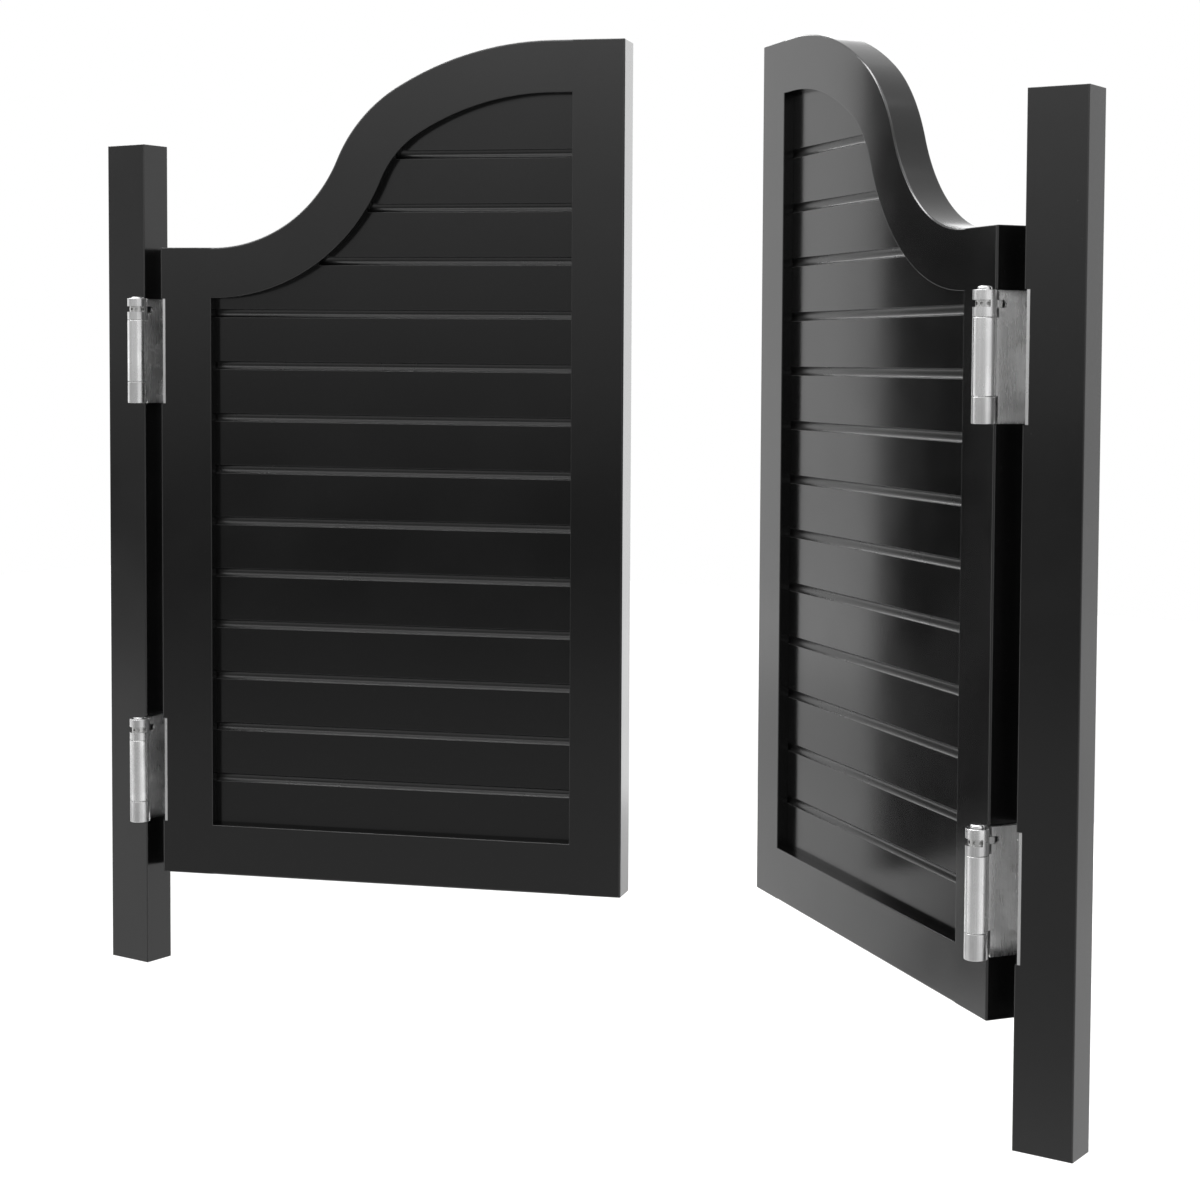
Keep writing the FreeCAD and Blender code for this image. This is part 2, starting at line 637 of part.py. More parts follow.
# ---------------------------------------------------------------- assembly
def moved(shape, x=0.0, z=0.0):
    """Copy of a shape moved along the doorway and up."""
    copy = shape.copy()
    copy.translate(V(x, 0, z))
    return copy


def mirrored(shape):
    """Copy of a left door's piece for the right door."""
    return shape.mirror(ORIGIN, X_AXIS)


def swung(shape, x, y, angle):
    """Copy of a shape turned about an upright axis."""
    copy = shape.copy()
    copy.rotate(V(x, y, 0), Z_AXIS, angle)
    return copy


def left_swing(shape):
    """Turns a piece of the left door on the rear barrels of its webs."""
    return swung(shape, LEFT_HINGE_X, PIVOT_Y, LEFT_OPEN_ANGLE)


def right_swing(shape):
    """Turns a piece of the right door or its webs on the rear barrels of its post."""
    return swung(shape, RIGHT_HINGE_X, PIVOT_Y, -RIGHT_OPEN_ANGLE)


def on_left(shape):
    """Puts a piece of a door in the left door, as it stands."""
    return left_swing(moved(shape, LEFT_JAMB_X + HINGE_GAP, DOOR_FOOT_Z))


def on_right(shape):
    """Puts a mirrored piece of a door in the right door, as it stands."""
    return right_swing(moved(mirrored(shape), RIGHT_JAMB_X - HINGE_GAP, DOOR_FOOT_Z))


def door_pieces():
    """Wooden pieces that both doors share, with the hinge edge at x = 0 and the foot at level 0."""
    pieces = {"lock_stile": lock_stile(), "top_rail": top_rail(), "bottom_rail": bottom_rail()}
    for number, shape in enumerate(boards(), start=1):
        pieces["board_%02d" % number] = shape
    return pieces


def at_levels(shapes, x):
    """Copies of hinge pieces at both hinges of one side."""
    return [moved(shape, x, level) for level in HINGE_LEVELS.values() for shape in shapes]


def wooden_nodes():
    """Posts and doors."""
    nodes = {"left_post": moved(post(-1), LEFT_JAMB_X), "right_post": moved(post(1), RIGHT_JAMB_X)}
    nodes["left_hinge_stile"] = on_left(hinge_stile(-1))
    nodes["right_hinge_stile"] = on_right(hinge_stile(1))
    for name, shape in door_pieces().items():
        nodes["left_" + name] = on_left(shape)
        nodes["right_" + name] = on_right(shape)
    return nodes


def plate_nodes():
    """Leaves and webs of the four hinges."""
    nodes = {}
    jamb_front = front_leaf(POST_DEPTH)
    jamb_rear = half_turn(jamb_front)
    door_front = front_leaf(DOOR_THICKNESS, has_lug=True)
    door_rear = half_turn(door_front)
    middle = web()
    for level_name, level in HINGE_LEVELS.items():
        left = "left_" + level_name
        right = "right_" + level_name
        nodes[left + "_jamb_leaf"] = moved(jamb_front, LEFT_HINGE_X, level)
        nodes[left + "_web"] = moved(middle, LEFT_HINGE_X, level)
        nodes[left + "_door_leaf"] = left_swing(moved(door_rear, LEFT_HINGE_X, level))
        nodes[right + "_jamb_leaf"] = moved(jamb_rear, RIGHT_HINGE_X, level)
        nodes[right + "_web"] = right_swing(moved(middle, RIGHT_HINGE_X, level))
        nodes[right + "_door_leaf"] = right_swing(moved(door_front, RIGHT_HINGE_X, level))
    return nodes


def small_nodes():
    """Pins, springs, tension collars and screws."""
    front_set = tension_set()
    rear_set = [half_turn(shape) for shape in front_set]
    front_screws = leaf_screws()
    rear_screws = [half_turn(shape) for shape in front_screws]
    left_pins = [pivot_pin(-PIVOT_Y, JAMB_PIN_HEAD_HEIGHT), pivot_pin(PIVOT_Y, DOOR_PIN_HEAD_HEIGHT)]
    right_pins = [half_turn(pin) for pin in left_pins]
    springs = [spring(-PIVOT_Y), spring(PIVOT_Y)]
    groups = {
        "jamb_collars": at_levels(front_set, LEFT_HINGE_X) + at_levels(rear_set, RIGHT_HINGE_X),
        "jamb_screws": at_levels(front_screws, LEFT_HINGE_X) + at_levels(rear_screws, RIGHT_HINGE_X),
        "left_pivot_pins": at_levels(left_pins, LEFT_HINGE_X),
        "left_springs": at_levels(springs, LEFT_HINGE_X),
        "left_door_collars": [left_swing(s) for s in at_levels(rear_set, LEFT_HINGE_X)],
        "left_door_screws": [left_swing(s) for s in at_levels(rear_screws, LEFT_HINGE_X)],
        "right_pivot_pins": [right_swing(s) for s in at_levels(right_pins, RIGHT_HINGE_X)],
        "right_springs": [right_swing(s) for s in at_levels(springs, RIGHT_HINGE_X)],
        "right_door_collars": [right_swing(s) for s in at_levels(front_set, RIGHT_HINGE_X)],
        "right_door_screws": [right_swing(s) for s in at_levels(front_screws, RIGHT_HINGE_X)],
    }
    return {name: Part.Compound(shapes) for name, shapes in groups.items()}


def main():
    """Writes one file per node."""
    os.makedirs("parts", exist_ok=True)
    nodes = wooden_nodes()
    nodes.update(plate_nodes())
    nodes.update(small_nodes())
    for name, shape in nodes.items():
        shape.exportStep("parts/" + name + ".step")


main()
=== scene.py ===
"""Looks of a pair of cafe swinging doors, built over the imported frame.

The wooden pieces are surfaces carried along their lengths and stand for the frame's plain solids.
The hinges keep the frame's own solids and get their steel here. Lengths are in metres.
"""

import logging
import math
from dataclasses import dataclass, field, replace
from enum import Enum

import bpy
import numpy as np
from mathutils import Matrix

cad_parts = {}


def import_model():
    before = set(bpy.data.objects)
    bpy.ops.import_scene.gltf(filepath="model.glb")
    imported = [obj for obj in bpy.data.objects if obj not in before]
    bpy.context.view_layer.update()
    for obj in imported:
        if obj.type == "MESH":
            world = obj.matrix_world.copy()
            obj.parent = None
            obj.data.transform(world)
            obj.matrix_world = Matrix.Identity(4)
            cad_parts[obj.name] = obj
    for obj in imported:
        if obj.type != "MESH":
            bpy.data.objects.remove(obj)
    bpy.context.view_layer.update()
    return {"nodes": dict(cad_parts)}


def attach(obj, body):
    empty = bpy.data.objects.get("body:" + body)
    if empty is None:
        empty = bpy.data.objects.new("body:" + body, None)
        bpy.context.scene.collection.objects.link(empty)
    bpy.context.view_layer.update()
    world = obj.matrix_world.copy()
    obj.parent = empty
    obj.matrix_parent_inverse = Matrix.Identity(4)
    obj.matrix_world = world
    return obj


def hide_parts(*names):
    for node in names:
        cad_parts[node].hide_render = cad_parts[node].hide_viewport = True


LOG = logging.getLogger("cafe_doors")
MM = 0.001
# Points of every rounded arris, cove and lip.
ARC_STEPS = 7
# How far a flat's own points stand from its rounded arris, which keeps its shading flat.
SUPPORT = 0.4 * MM
# Gap between two rings or points where the shape changes at once.
STEP = 0.01 * MM
# Radius that a rounded arris keeps where its section is drawn in.
LEAST_RADIUS = 0.05 * MM
# Radius of the arris that is left along a housing.
HOUSING_RADIUS = 0.15 * MM
# Degrees between two faces from which their edge is sharp.
SHARP_ANGLE = 35
# Upright share of a direction from which it counts as straight up or down.
STEEP = 0.98
# Map of every face corner's place along and round its piece.
GRAIN_MAP = "grain"

Span = tuple[float, float]
Point = tuple[float, float, float]
Colour = tuple[float, float, float, float]
Socket = bpy.types.NodeSocket
# What an input takes: an output to join to it, or a plain value.
Source = Socket | float | Colour


# ---------------------------------------------------------------- surfaces
@dataclass(frozen=True)
class Place:
    """Where a piece's own frame stands: across from an edge, through the wood, and up."""

    edge_x: float
    direction: int
    foot_z: float
    pivot: Span = (0.0, 0.0)
    turn: float = 0.0

    def put(self, points: np.ndarray) -> np.ndarray:
        """Moves points of the piece's own frame to where the piece stands.

        The first coordinate runs from the edge in the direction of the piece, and the whole is
        then turned about the upright pivot: x' = px + c dx - s dy, y' = py + s dx + c dy.

        Args:
            points: array of (across, through, up), of any leading shape.

        Returns:
            The same array in the object's frame.
        """
        x = self.edge_x + self.direction * points[..., 0] - self.pivot[0]
        y = points[..., 1] - self.pivot[1]
        angle = math.radians(self.turn)
        turned_x = self.pivot[0] + math.cos(angle) * x - math.sin(angle) * y
        turned_y = self.pivot[1] + math.sin(angle) * x + math.cos(angle) * y
        return np.stack([turned_x, turned_y, points[..., 2] + self.foot_z], axis=-1)


@dataclass(frozen=True)
class Sleeve:
    """A closed skin: rings of points along a piece, each ring its own mirror image front to back.

    rings has the shape (stations, points, 3), and masks holds one (stations, points) array for each
    named mask that a finish reads.
    """

    rings: np.ndarray
    masks: dict[str, np.ndarray]

    def faces(self) -> np.ndarray:
        """Corner numbers of all quads: the skin round the rings, then a ladder across each end.

        Quad (i, j) joins ring i with ring i + 1 between points j and j + 1, counted round the ring.
        A ladder's rung joins point j with the point that mirrors it.

        Returns:
            An array of shape (quads, 4).
        """
        count, size = self.rings.shape[:2]
        i, j = np.meshgrid(np.arange(count - 1), np.arange(size), indexing="ij")
        after = (j + 1) % size
        here, there = i * size, (i + 1) * size
        skin = np.stack([here + j, here + after, there + after, there + j], -1)
        k = np.arange(size // 2 - 1)
        ladder = np.stack([k, size - 1 - k, size - 2 - k, k + 1], -1)
        far = ladder[:, ::-1] + (count - 1) * size
        return np.concatenate([skin.reshape(-1, 4), ladder, far])

    def grain_places(self, faces: np.ndarray) -> np.ndarray:
        """Place of every face corner along and round the piece, in metres.

        Along is the length of the way from the first ring, and round is the length of the way
        from the ring's first point. A corner that has come full circle keeps the whole way round.

        Args:
            faces: the corner numbers from faces().

        Returns:
            An array of shape (quads, 4, 2).
        """
        count, size = self.rings.shape[:2]
        middle = self.rings.mean(axis=1)
        along = np.concatenate([[0.0], np.cumsum(np.linalg.norm(np.diff(middle, axis=0), axis=1))])
        ring = self.rings[count // 2]
        steps = np.linalg.norm(np.roll(ring, -1, axis=0) - ring, axis=1)
        around = np.concatenate([[0.0], np.cumsum(steps)])
        row, column = faces // size, faces % size
        wraps = (column == 0) & (column.max(axis=1, keepdims=True) == size - 1)
        return np.stack([along[row], around[np.where(wraps, size, column)]], axis=-1)

    def build(self, name: str, place: Place) -> bpy.types.Object:
        """Puts the skin into a mesh with its faces outwards, its grain map and its masks.

        The volume inside is the sum over all quads of the triple product of their corners. Where
        it comes out negative, every face is turned round.

        Args:
            name: name of the new object.
            place: where the piece's own frame stands.

        Returns:
            The new object, at the origin, with its place in its mesh.
        """
        points = place.put(self.rings).reshape(-1, 3)
        faces = self.faces()
        grain = self.grain_places(faces)
        a, b, c, d = (points[faces[:, k]] - points.mean(axis=0) for k in range(4))
        volume = np.einsum("ij,ij->i", a, np.cross(b, c) + np.cross(c, d)).sum()
        if volume < 0:
            faces, grain = faces[:, ::-1], grain[:, ::-1]
        mesh = bpy.data.meshes.new(name)
        mesh.from_pydata(points.tolist(), [], faces.tolist())
        layer = mesh.uv_layers.new(name=GRAIN_MAP)
        layer.uv.foreach_set("vector", grain.astype(np.float32).ravel())
        for mask, values in self.masks.items():
            attribute = mesh.attributes.new(mask, "FLOAT", "POINT")
            attribute.data.foreach_set("value", values.astype(np.float32).ravel())
        mesh.shade_smooth()
        mesh.set_sharp_from_angle(angle=math.radians(SHARP_ANGLE))
        piece = bpy.data.objects.new(name, mesh)
        bpy.context.scene.collection.objects.link(piece)
        return piece


def arc(centre: Span, radius: float, start: float, end: float) -> np.ndarray:
    """Points of a circle between two angles: centre + radius (cos t, sin t).

    Args:
        centre: centre of the circle.
        radius: radius of the circle.
        start: first angle, in degrees.
        end: last angle, in degrees.

    Returns:
        An array of shape (ARC_STEPS, 2).
    """
    t = np.radians(np.linspace(start, end, ARC_STEPS))
    return np.stack([centre[0] + radius * np.cos(t), centre[1] + radius * np.sin(t)], axis=-1)


def mirrored_ring(half: np.ndarray) -> np.ndarray:
    """Closes a front half section with its mirror image: (a, b) is followed back by (a, -b)."""
    return np.concatenate([half, (half * [1, -1])[::-1]])


@dataclass(frozen=True)
class Bar:
    """Section of a straight or bent piece of the frame, and how its arrises are rounded.

    Its outer side is at 0 and its inner side, which may hold the boards' groove, at width. The
    groove narrows by groove_draft on each side towards its bottom.
    """

    width: float
    thickness: float
    outer_radius: float
    inner_radius: float
    groove_width: float = 2 * MM
    groove_depth: float = 0.0
    groove_draft: float = 5 * STEP
    inner_share: float = 0.2

    def half(self, inset: float, notch: float, groove: float) -> np.ndarray:
        """Front half of the section, from the outer side to the middle of the inner side.

        Each rounded arris is a quarter circle between two points that hold the flats plane. The
        inset moves the outer side and the front inwards, and the inner side by a share of it.

        Args:
            inset: how far the section is drawn in, near an end.
            notch: depth of a housing that takes the whole outer side away.
            groove: depth of the boards' groove here.

        Returns:
            An array of (across, through).
        """
        front = inset - self.thickness / 2
        outer = notch + inset
        inner = self.width - self.inner_share * inset
        full = self.outer_radius if notch == 0 else HOUSING_RADIUS
        r = max(full - inset, LEAST_RADIUS)
        q = max(self.inner_radius - inset, LEAST_RADIUS)
        mouth = self.groove_width / 2
        return np.concatenate([
            [(outer, front + r + SUPPORT)],
            arc((outer + r, front + r), r, 180, 270),
            [(outer + r + SUPPORT, front), (inner - q - SUPPORT, front)],
            arc((inner - q, front + q), q, 270, 360),
            [(inner, front + q + SUPPORT), (inner, -mouth)],
            [(inner - groove, self.groove_draft - mouth)],
        ])

    def arris_mask(self) -> np.ndarray:
        """Mask of a whole ring.

        Returns:
            One for each point on a rounded arris, and nought for each on a flat.
        """
        rounded = np.ones(ARC_STEPS)
        half = np.concatenate([[0], rounded, [0, 0], rounded, [0, 0, 0]])
        return np.concatenate([half, half[::-1]])


@dataclass(frozen=True)
class Upright:
    """A stile or a post: a bar that stands, with housings for hinge leaves in its outer side."""

    bar: Bar
    head: float
    end_radius: float
    housings: tuple[Span, ...] = ()
    housing_depth: float = 0.0
    opening: Span | None = None

    def levels(self) -> tuple[np.ndarray, np.ndarray, np.ndarray]:
        """Level, inset and end mask of every ring, from the foot to the head.

        Towards an end the section draws in as a quarter circle: inset = R (1 - cos t) at a
        distance R (1 - sin t) from the end. A housing or groove begins between two close rings.

        Returns:
            Three arrays of the same length.
        """
        t = np.radians(np.linspace(0, 90, ARC_STEPS))
        r = self.end_radius
        depth = np.concatenate([[r + SUPPORT], r * (1 - np.sin(t)), [0.0]])
        inset = np.concatenate([[0.0], r * (1 - np.cos(t)), [r + SUPPORT]])
        rounded = np.concatenate([[0.0], np.ones(ARC_STEPS), [0.0]])
        edges = [level for pair in self.housings for level in pair] + list(self.opening or ())
        breaks = np.sort(np.array([edge + side for edge in edges for side in (-STEP, STEP)]))
        level = np.concatenate([depth[::-1], breaks, self.head - depth])
        none = np.zeros(len(breaks))
        insets = np.concatenate([inset[::-1], none, inset])
        return level, insets, np.concatenate([rounded[::-1], none, rounded])

    def sleeve(self) -> Sleeve:
        """Carries the section up the piece, one ring for each level.

        Returns:
            The skin, with its housings and its groove.
        """
        arris = self.bar.arris_mask()
        rings, arrises = [], []
        for level, inset, end in zip(*self.levels()):
            in_housing = any(low < level < high for low, high in self.housings)
            in_opening = self.opening is not None and self.opening[0] < level < self.opening[1]
            notch = self.housing_depth if in_housing else 0.0
            groove = self.bar.groove_depth if in_opening else 0.0
            ring = mirrored_ring(self.bar.half(inset, notch, groove))
            rings.append(np.insert(ring, 2, level, axis=1))
            arrises.append(np.maximum(arris, end))
        masks = {"arris": np.array(arrises), "cove": np.zeros((len(rings), len(arris)))}
        return Sleeve(np.array(rings), masks)


@dataclass(frozen=True)
class Rail:
    """A bar carried along a line in the door's plane, from one stile to the other."""

    bar: Bar
    line: np.ndarray
    outwards: np.ndarray

    def sleeve(self) -> Sleeve:
        """Carries the section along the line.

        A point at depth d of the section lies at line - d * outwards.

        Returns:
            The skin, with one ring for each point of the line.
        """
        half = self.bar.half(inset=0.0, notch=0.0, groove=self.bar.groove_depth)
        section = mirrored_ring(half)
        at = self.line[:, None] - section[:, :1] * self.outwards[:, None]
        through = np.tile(section[:, 1], (len(self.line), 1))
        arris = np.tile(self.bar.arris_mask(), (len(self.line), 1))
        rings = np.stack([at[..., 0], through, at[..., 1]], axis=-1)
        return Sleeve(rings, {"arris": arris, "cove": np.zeros_like(arris)})


# ---------------------------------------------------------------- doors
@dataclass(frozen=True)
class SCurve:
    """Upper edge of the curved rail: a flat crest, a tight crown and a hollow sweep."""

    start: float = 52 * MM
    end: float = 410 * MM
    low: float = 604 * MM
    high: float = 794 * MM
    sweep_radius: float = 137 * MM
    crown_ratio: float = 0.561
    crest_ratio: float = 1.172
    low_flat: float = 2 * MM
    high_flat: float = 20 * MM
    crest_steps: int = 16
    crown_steps: int = 20
    sweep_steps: int = 34

    def points(self, inset: float = 0.0, lap: float = 0.0) -> tuple[np.ndarray, np.ndarray]:
        """Points of the edge from its high end to its low end, and the directions out of the wood.

        The three arcs meet in tangents. With the mean radius M = (run^2 + rise^2) / (2 rise) -
        sweep radius, the crown and the crest have radii in fixed ratios to M. The crown's centre
        lies at the distance sweep + crown from the sweep's centre and crest - crown from the
        crest's centre. A point of an arc is its centre + radius (-sin t, cos t).

        Args:
            inset: how far the edge is moved down into the rail.
            lap: how far the edge runs on over each stile.

        Returns:
            Two arrays of shape (points, 2), as (across, up).
        """
        run = self.end - self.high_flat - self.start - self.low_flat
        rise = self.high - self.low
        mean = (run**2 + rise**2) / (2 * rise) - self.sweep_radius
        crown_radius, crest_radius = self.crown_ratio * mean, self.crest_ratio * mean
        sweep = np.array([self.start + self.low_flat, self.low + self.sweep_radius])
        crest = np.array([self.end - self.high_flat, self.high - crest_radius])
        span = crest - sweep
        length = np.hypot(*span)
        reach = self.sweep_radius + crown_radius
        along = (reach**2 - (crest_radius - crown_radius) ** 2 + length**2) / (2 * length)
        aside = math.sqrt(reach**2 - along**2)
        crown = sweep + (along * span + aside * np.array([-span[1], span[0]])) / length
        crest_turn = math.atan2(crest[0] - crown[0], crown[1] - crest[1])
        bend = math.atan2(crown[0] - sweep[0], sweep[1] - crown[1])
        arcs = (
            (crest, crest_radius - inset, np.linspace(0, crest_turn, self.crest_steps)),
            (crown, crown_radius - inset, np.linspace(crest_turn, bend, self.crown_steps)[1:]),
            (sweep, -self.sweep_radius - inset, np.linspace(bend, 0, self.sweep_steps)[1:]),
        )
        spots, outwards = [], []
        for centre, radius, turns in arcs:
            outwards.append(np.stack([-np.sin(turns), np.cos(turns)], axis=-1))
            spots.append(centre + radius * outwards[-1])
        curve, up = np.concatenate(spots), [(0.0, 1.0)]
        first, last = [(self.end + lap, curve[0, 1])], [(self.start - lap, curve[-1, 1])]
        return np.concatenate([first, curve, last]), np.concatenate([up, *outwards, up])


@dataclass(frozen=True)
class Boards:
    """The boards that fill a door, with a coved groove at each joint.

    A board's end stands in the curved rail by overlap, and a board is never shorter than
    shortest. The stations are the shares of its length that its rings stand at.
    """

    pitch: float = 49.8 * MM
    thickness: float = 10 * MM
    first_joint: float = 93.5 * MM
    count: int = 14
    foot: float = 42.5 * MM
    head: float = 751.5 * MM
    left: float = 46.5 * MM
    right: float = 415.5 * MM
    cove_radius: float = 4.6 * MM
    cove_proud: float = 2.3 * MM
    lip_radius: float = 0.35 * MM
    edge: float = 1 * MM
    flat_steps: int = 12
    overlap: float = 5.5 * MM
    shortest: float = 5 * MM
    stations: tuple[float, ...] = (0.0, 0.02, 0.25, 0.5, 0.75, 0.98, 1.0)

    def cove(self, level: float, side: int) -> np.ndarray:
        """Half of a groove on the front face, as (up, through), from the joint to the face.

        The cove is a circle whose centre stands proud of the face. A lip of radius q rounds its
        meeting with the face: the lip's centre lies q under the face and r + q from the cove's.

        Args:
            level: level of the joint.
            side: +1 for the half above the joint, -1 for the half below it.

        Returns:
            An array of (up, through) of two arcs.
        """
        r, q = self.cove_radius, self.lip_radius
        face = -self.thickness / 2
        centre = face - self.cove_proud
        rise = math.sqrt((r + q) ** 2 - (self.cove_proud + q) ** 2)
        meet = math.degrees(math.atan2(self.cove_proud + q, rise))
        hollow = arc((0.0, centre), r, 90, meet)
        lip = arc((rise, face + q), q, 180 + meet, 270)
        return np.concatenate([hollow, lip]) * [side, 1] + [level, 0]

    def half(self, number: int) -> np.ndarray:
        """Front half of one board's section, from its foot to its head, with its masks.

        Args:
            number: number of the board, from 1 at the foot.

        Returns:
            An array of (up, through, cove mask, lip mask). The lip is the edge of a cove's lower
            side, and its mask carries a painted highlight.
        """
        face = -self.thickness / 2
        first, last = number == 1, number == self.count
        low = self.foot if first else self.first_joint + (number - 2) * self.pitch
        high = self.head if last else self.first_joint + (number - 1) * self.pitch
        # The lip mask marks where the paint is lighter as a painted highlight on the up-facing lip.
        is_cove, lip_highlight = np.ones(2 * ARC_STEPS), np.repeat([0.0, 1.0], ARC_STEPS)
        above = np.column_stack([self.cove(low, 1), is_cove, np.zeros_like(lip_highlight)])
        below = np.column_stack([self.cove(high, -1), is_cove, lip_highlight])[::-1]
        from_level = low if first else above[-1, 0] + SUPPORT
        to_level = high if last else below[0, 0] - SUPPORT
        ups = np.linspace(from_level + STEP, to_level - STEP, self.flat_steps)
        flat = np.column_stack([ups, np.full_like(ups, face), np.zeros((len(ups), 2))])
        foot = [(low, face, 0, 0)] if first else above
        head = [(high, face, 0, 0)] if last else below
        start, end = [(low, -self.edge, 0, 0)], [(high, -self.edge, 0, 0)]
        return np.concatenate([start, foot, flat, head, end])

    def sleeve(self, number: int, curve: SCurve, rail_width: float) -> Sleeve:
        """Skin of one board, whose hinge-side end follows the curved rail's groove.

        A point at (up, through) of the section runs from the curve's place at that level, or from
        the stile where the curve is higher, to the lock stile.

        Args:
            number: number of the board, from 1 at the foot.
            curve: the curved rail's upper edge.
            rail_width: width of the curved rail.

        Returns:
            The board's skin, in the door's own frame.
        """
        half = self.half(number)
        section = mirrored_ring(half[:, :2])
        cove, lip = np.concatenate([half[:, 2:], half[::-1, 2:]]).T
        edge, _ = curve.points(inset=rail_width - self.overlap)
        edge = edge[::-1]
        begin = np.interp(section[:, 0], edge[:, 1], edge[:, 0], left=self.left)
        begin = np.clip(begin, self.left, self.right - self.shortest)
        shares = np.array(self.stations)[:, None]
        across = begin + shares * (self.right - begin)
        rows = section[:, 1], section[:, 0], cove, lip
        through, up, cove, lip = (np.tile(row, (len(shares), 1)) for row in rows)
        # The lip mask carries the paint's painted highlight on the coves' lower lips.
        masks = {"arris": np.zeros_like(up), "cove": cove, "lip": lip}
        return Sleeve(np.stack([across, through, up], axis=-1), masks)


@dataclass(frozen=True)
class Door:
    """One door: two stiles, the curved top rail, the bottom rail and the boards."""

    side: str
    place: Place
    width: float = 460 * MM
    thickness: float = 30 * MM
    low: float = 604 * MM
    high: float = 794 * MM
    hinge_stile: float = 52 * MM
    lock_stile: float = 50 * MM
    rail: float = 48 * MM
    arris: float = 1.5 * MM
    inner_arris: float = 0.6 * MM
    groove_width: float = 10.2 * MM
    groove_depth: float = 6 * MM
    housing_depth: float = 4.8 * MM
    lap: float = 0.75 * MM
    coat: float = 0.02 * MM
    end_radius: float = 0.8 * MM
    rail_steps: int = 5
    housings: tuple[Span, ...] = ((49.7 * MM, 150.3 * MM), (454.7 * MM, 555.3 * MM))
    curve: SCurve = field(default_factory=SCurve)
    boards: Boards = field(default_factory=Boards)

    def bar(self, width: float) -> Bar:
        """Section of one piece of this door's frame."""
        return Bar(width, self.thickness, self.arris, self.inner_arris,
                   self.groove_width, self.groove_depth)

    def opening(self, height: float) -> Span:
        """Levels between which a stile of some height is grooved for the boards."""
        return self.rail - self.groove_depth, height - self.rail + self.groove_depth

    def hinge_stile_sleeve(self) -> Sleeve:
        """Short stile, with the housings of both hinge leaves in its outer side."""
        return Upright(self.bar(self.hinge_stile), self.low, self.end_radius,
                       self.housings, self.housing_depth, self.opening(self.low)).sleeve()

    def lock_stile_sleeve(self) -> Sleeve:
        """Makes the tall stile at the meeting side.

        Returns:
            Its skin, whose section runs inwards from the door's free edge.
        """
        skin = Upright(self.bar(self.lock_stile), self.high, self.end_radius,
                       opening=self.opening(self.high)).sleeve()
        rings = skin.rings.copy()
        rings[..., 0] = self.width - rings[..., 0]
        return Sleeve(rings, skin.masks)

    def rail_bar(self) -> Bar:
        """Section of a rail, thicker than a stile by the coat of paint that covers its joints."""
        return replace(self.bar(self.rail), thickness=self.thickness + 2 * self.coat)

    def bottom_rail_sleeve(self) -> Sleeve:
        """Makes the straight rail under the boards.

        Returns:
            Its skin, which laps over the stiles' rounded arrises.
        """
        start, end = self.hinge_stile - self.lap, self.width - self.lock_stile + self.lap
        across = np.linspace(start, end, self.rail_steps)
        line = np.stack([across, np.zeros_like(across)], axis=-1)
        return Rail(self.rail_bar(), line, np.tile([0.0, -1.0], (len(across), 1))).sleeve()

    def top_rail_sleeve(self) -> Sleeve:
        """S-curved rail over the boards, which laps over the stiles' rounded arrises."""
        line, outwards = self.curve.points(lap=self.lap)
        return Rail(self.rail_bar(), line, outwards).sleeve()

    def skins(self) -> dict[str, Sleeve]:
        """Makes every wooden piece of the door.

        Returns:
            The skins, by the names of the frame's nodes that they stand for, without the side.
        """
        pieces = {
            "hinge_stile": self.hinge_stile_sleeve(),
            "lock_stile": self.lock_stile_sleeve(),
            "top_rail": self.top_rail_sleeve(),
            "bottom_rail": self.bottom_rail_sleeve(),
        }
        for number in range(1, self.boards.count + 1):
            pieces[f"board_{number:02d}"] = self.boards.sleeve(number, self.curve, self.rail)
        return pieces

    def build(self, frame_paint: bpy.types.Material, board_paint: bpy.types.Material) -> None:
        """Makes the door's wooden pieces and hangs them on its body.

        Args:
            frame_paint: finish of the stiles and rails.
            board_paint: finish of the boards.
        """
        for name, skin in self.skins().items():
            is_board = name.startswith("board")
            piece = skin.build(f"{self.side}_{name}_painted", self.place)
            dress(piece, board_paint if is_board else frame_paint)
            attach(piece, f"{self.side}_door")
            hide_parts(f"{self.side}_{name}")
            LOG.info("built %s with %d faces", piece.name, len(piece.data.polygons))


@dataclass(frozen=True)
class Posts:
    """The two posts of the doorway, with the housings of the hinge leaves in their inner sides."""

    width: float = 50 * MM
    depth: float = 30 * MM
    length: float = 795 * MM
    arris: float = 1.0 * MM
    end_radius: float = 0.4 * MM
    housing_depth: float = 4.8 * MM
    housings: tuple[Span, ...] = ((141.7 * MM, 242.3 * MM), (546.7 * MM, 647.3 * MM))
    left_inner: float = 50 * MM
    right_inner: float = 985 * MM

    def build(self, paint: bpy.types.Material) -> None:
        """Makes both posts and stands them on the doorway's body.

        Args:
            paint: finish of the posts.
        """
        bar = Bar(self.width, self.depth, self.arris, self.arris)
        skin = Upright(bar, self.length, self.end_radius, self.housings,
                       self.housing_depth).sleeve()
        sides = (("left", self.left_inner, -1), ("right", self.right_inner, 1))
        for side, edge, direction in sides:
            piece = skin.build(f"{side}_post_painted", Place(edge, direction, -self.length / 2))
            dress(piece, paint)
            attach(piece, "posts")
            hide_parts(f"{side}_post")
            LOG.info("built %s with %d faces", piece.name, len(piece.data.polygons))


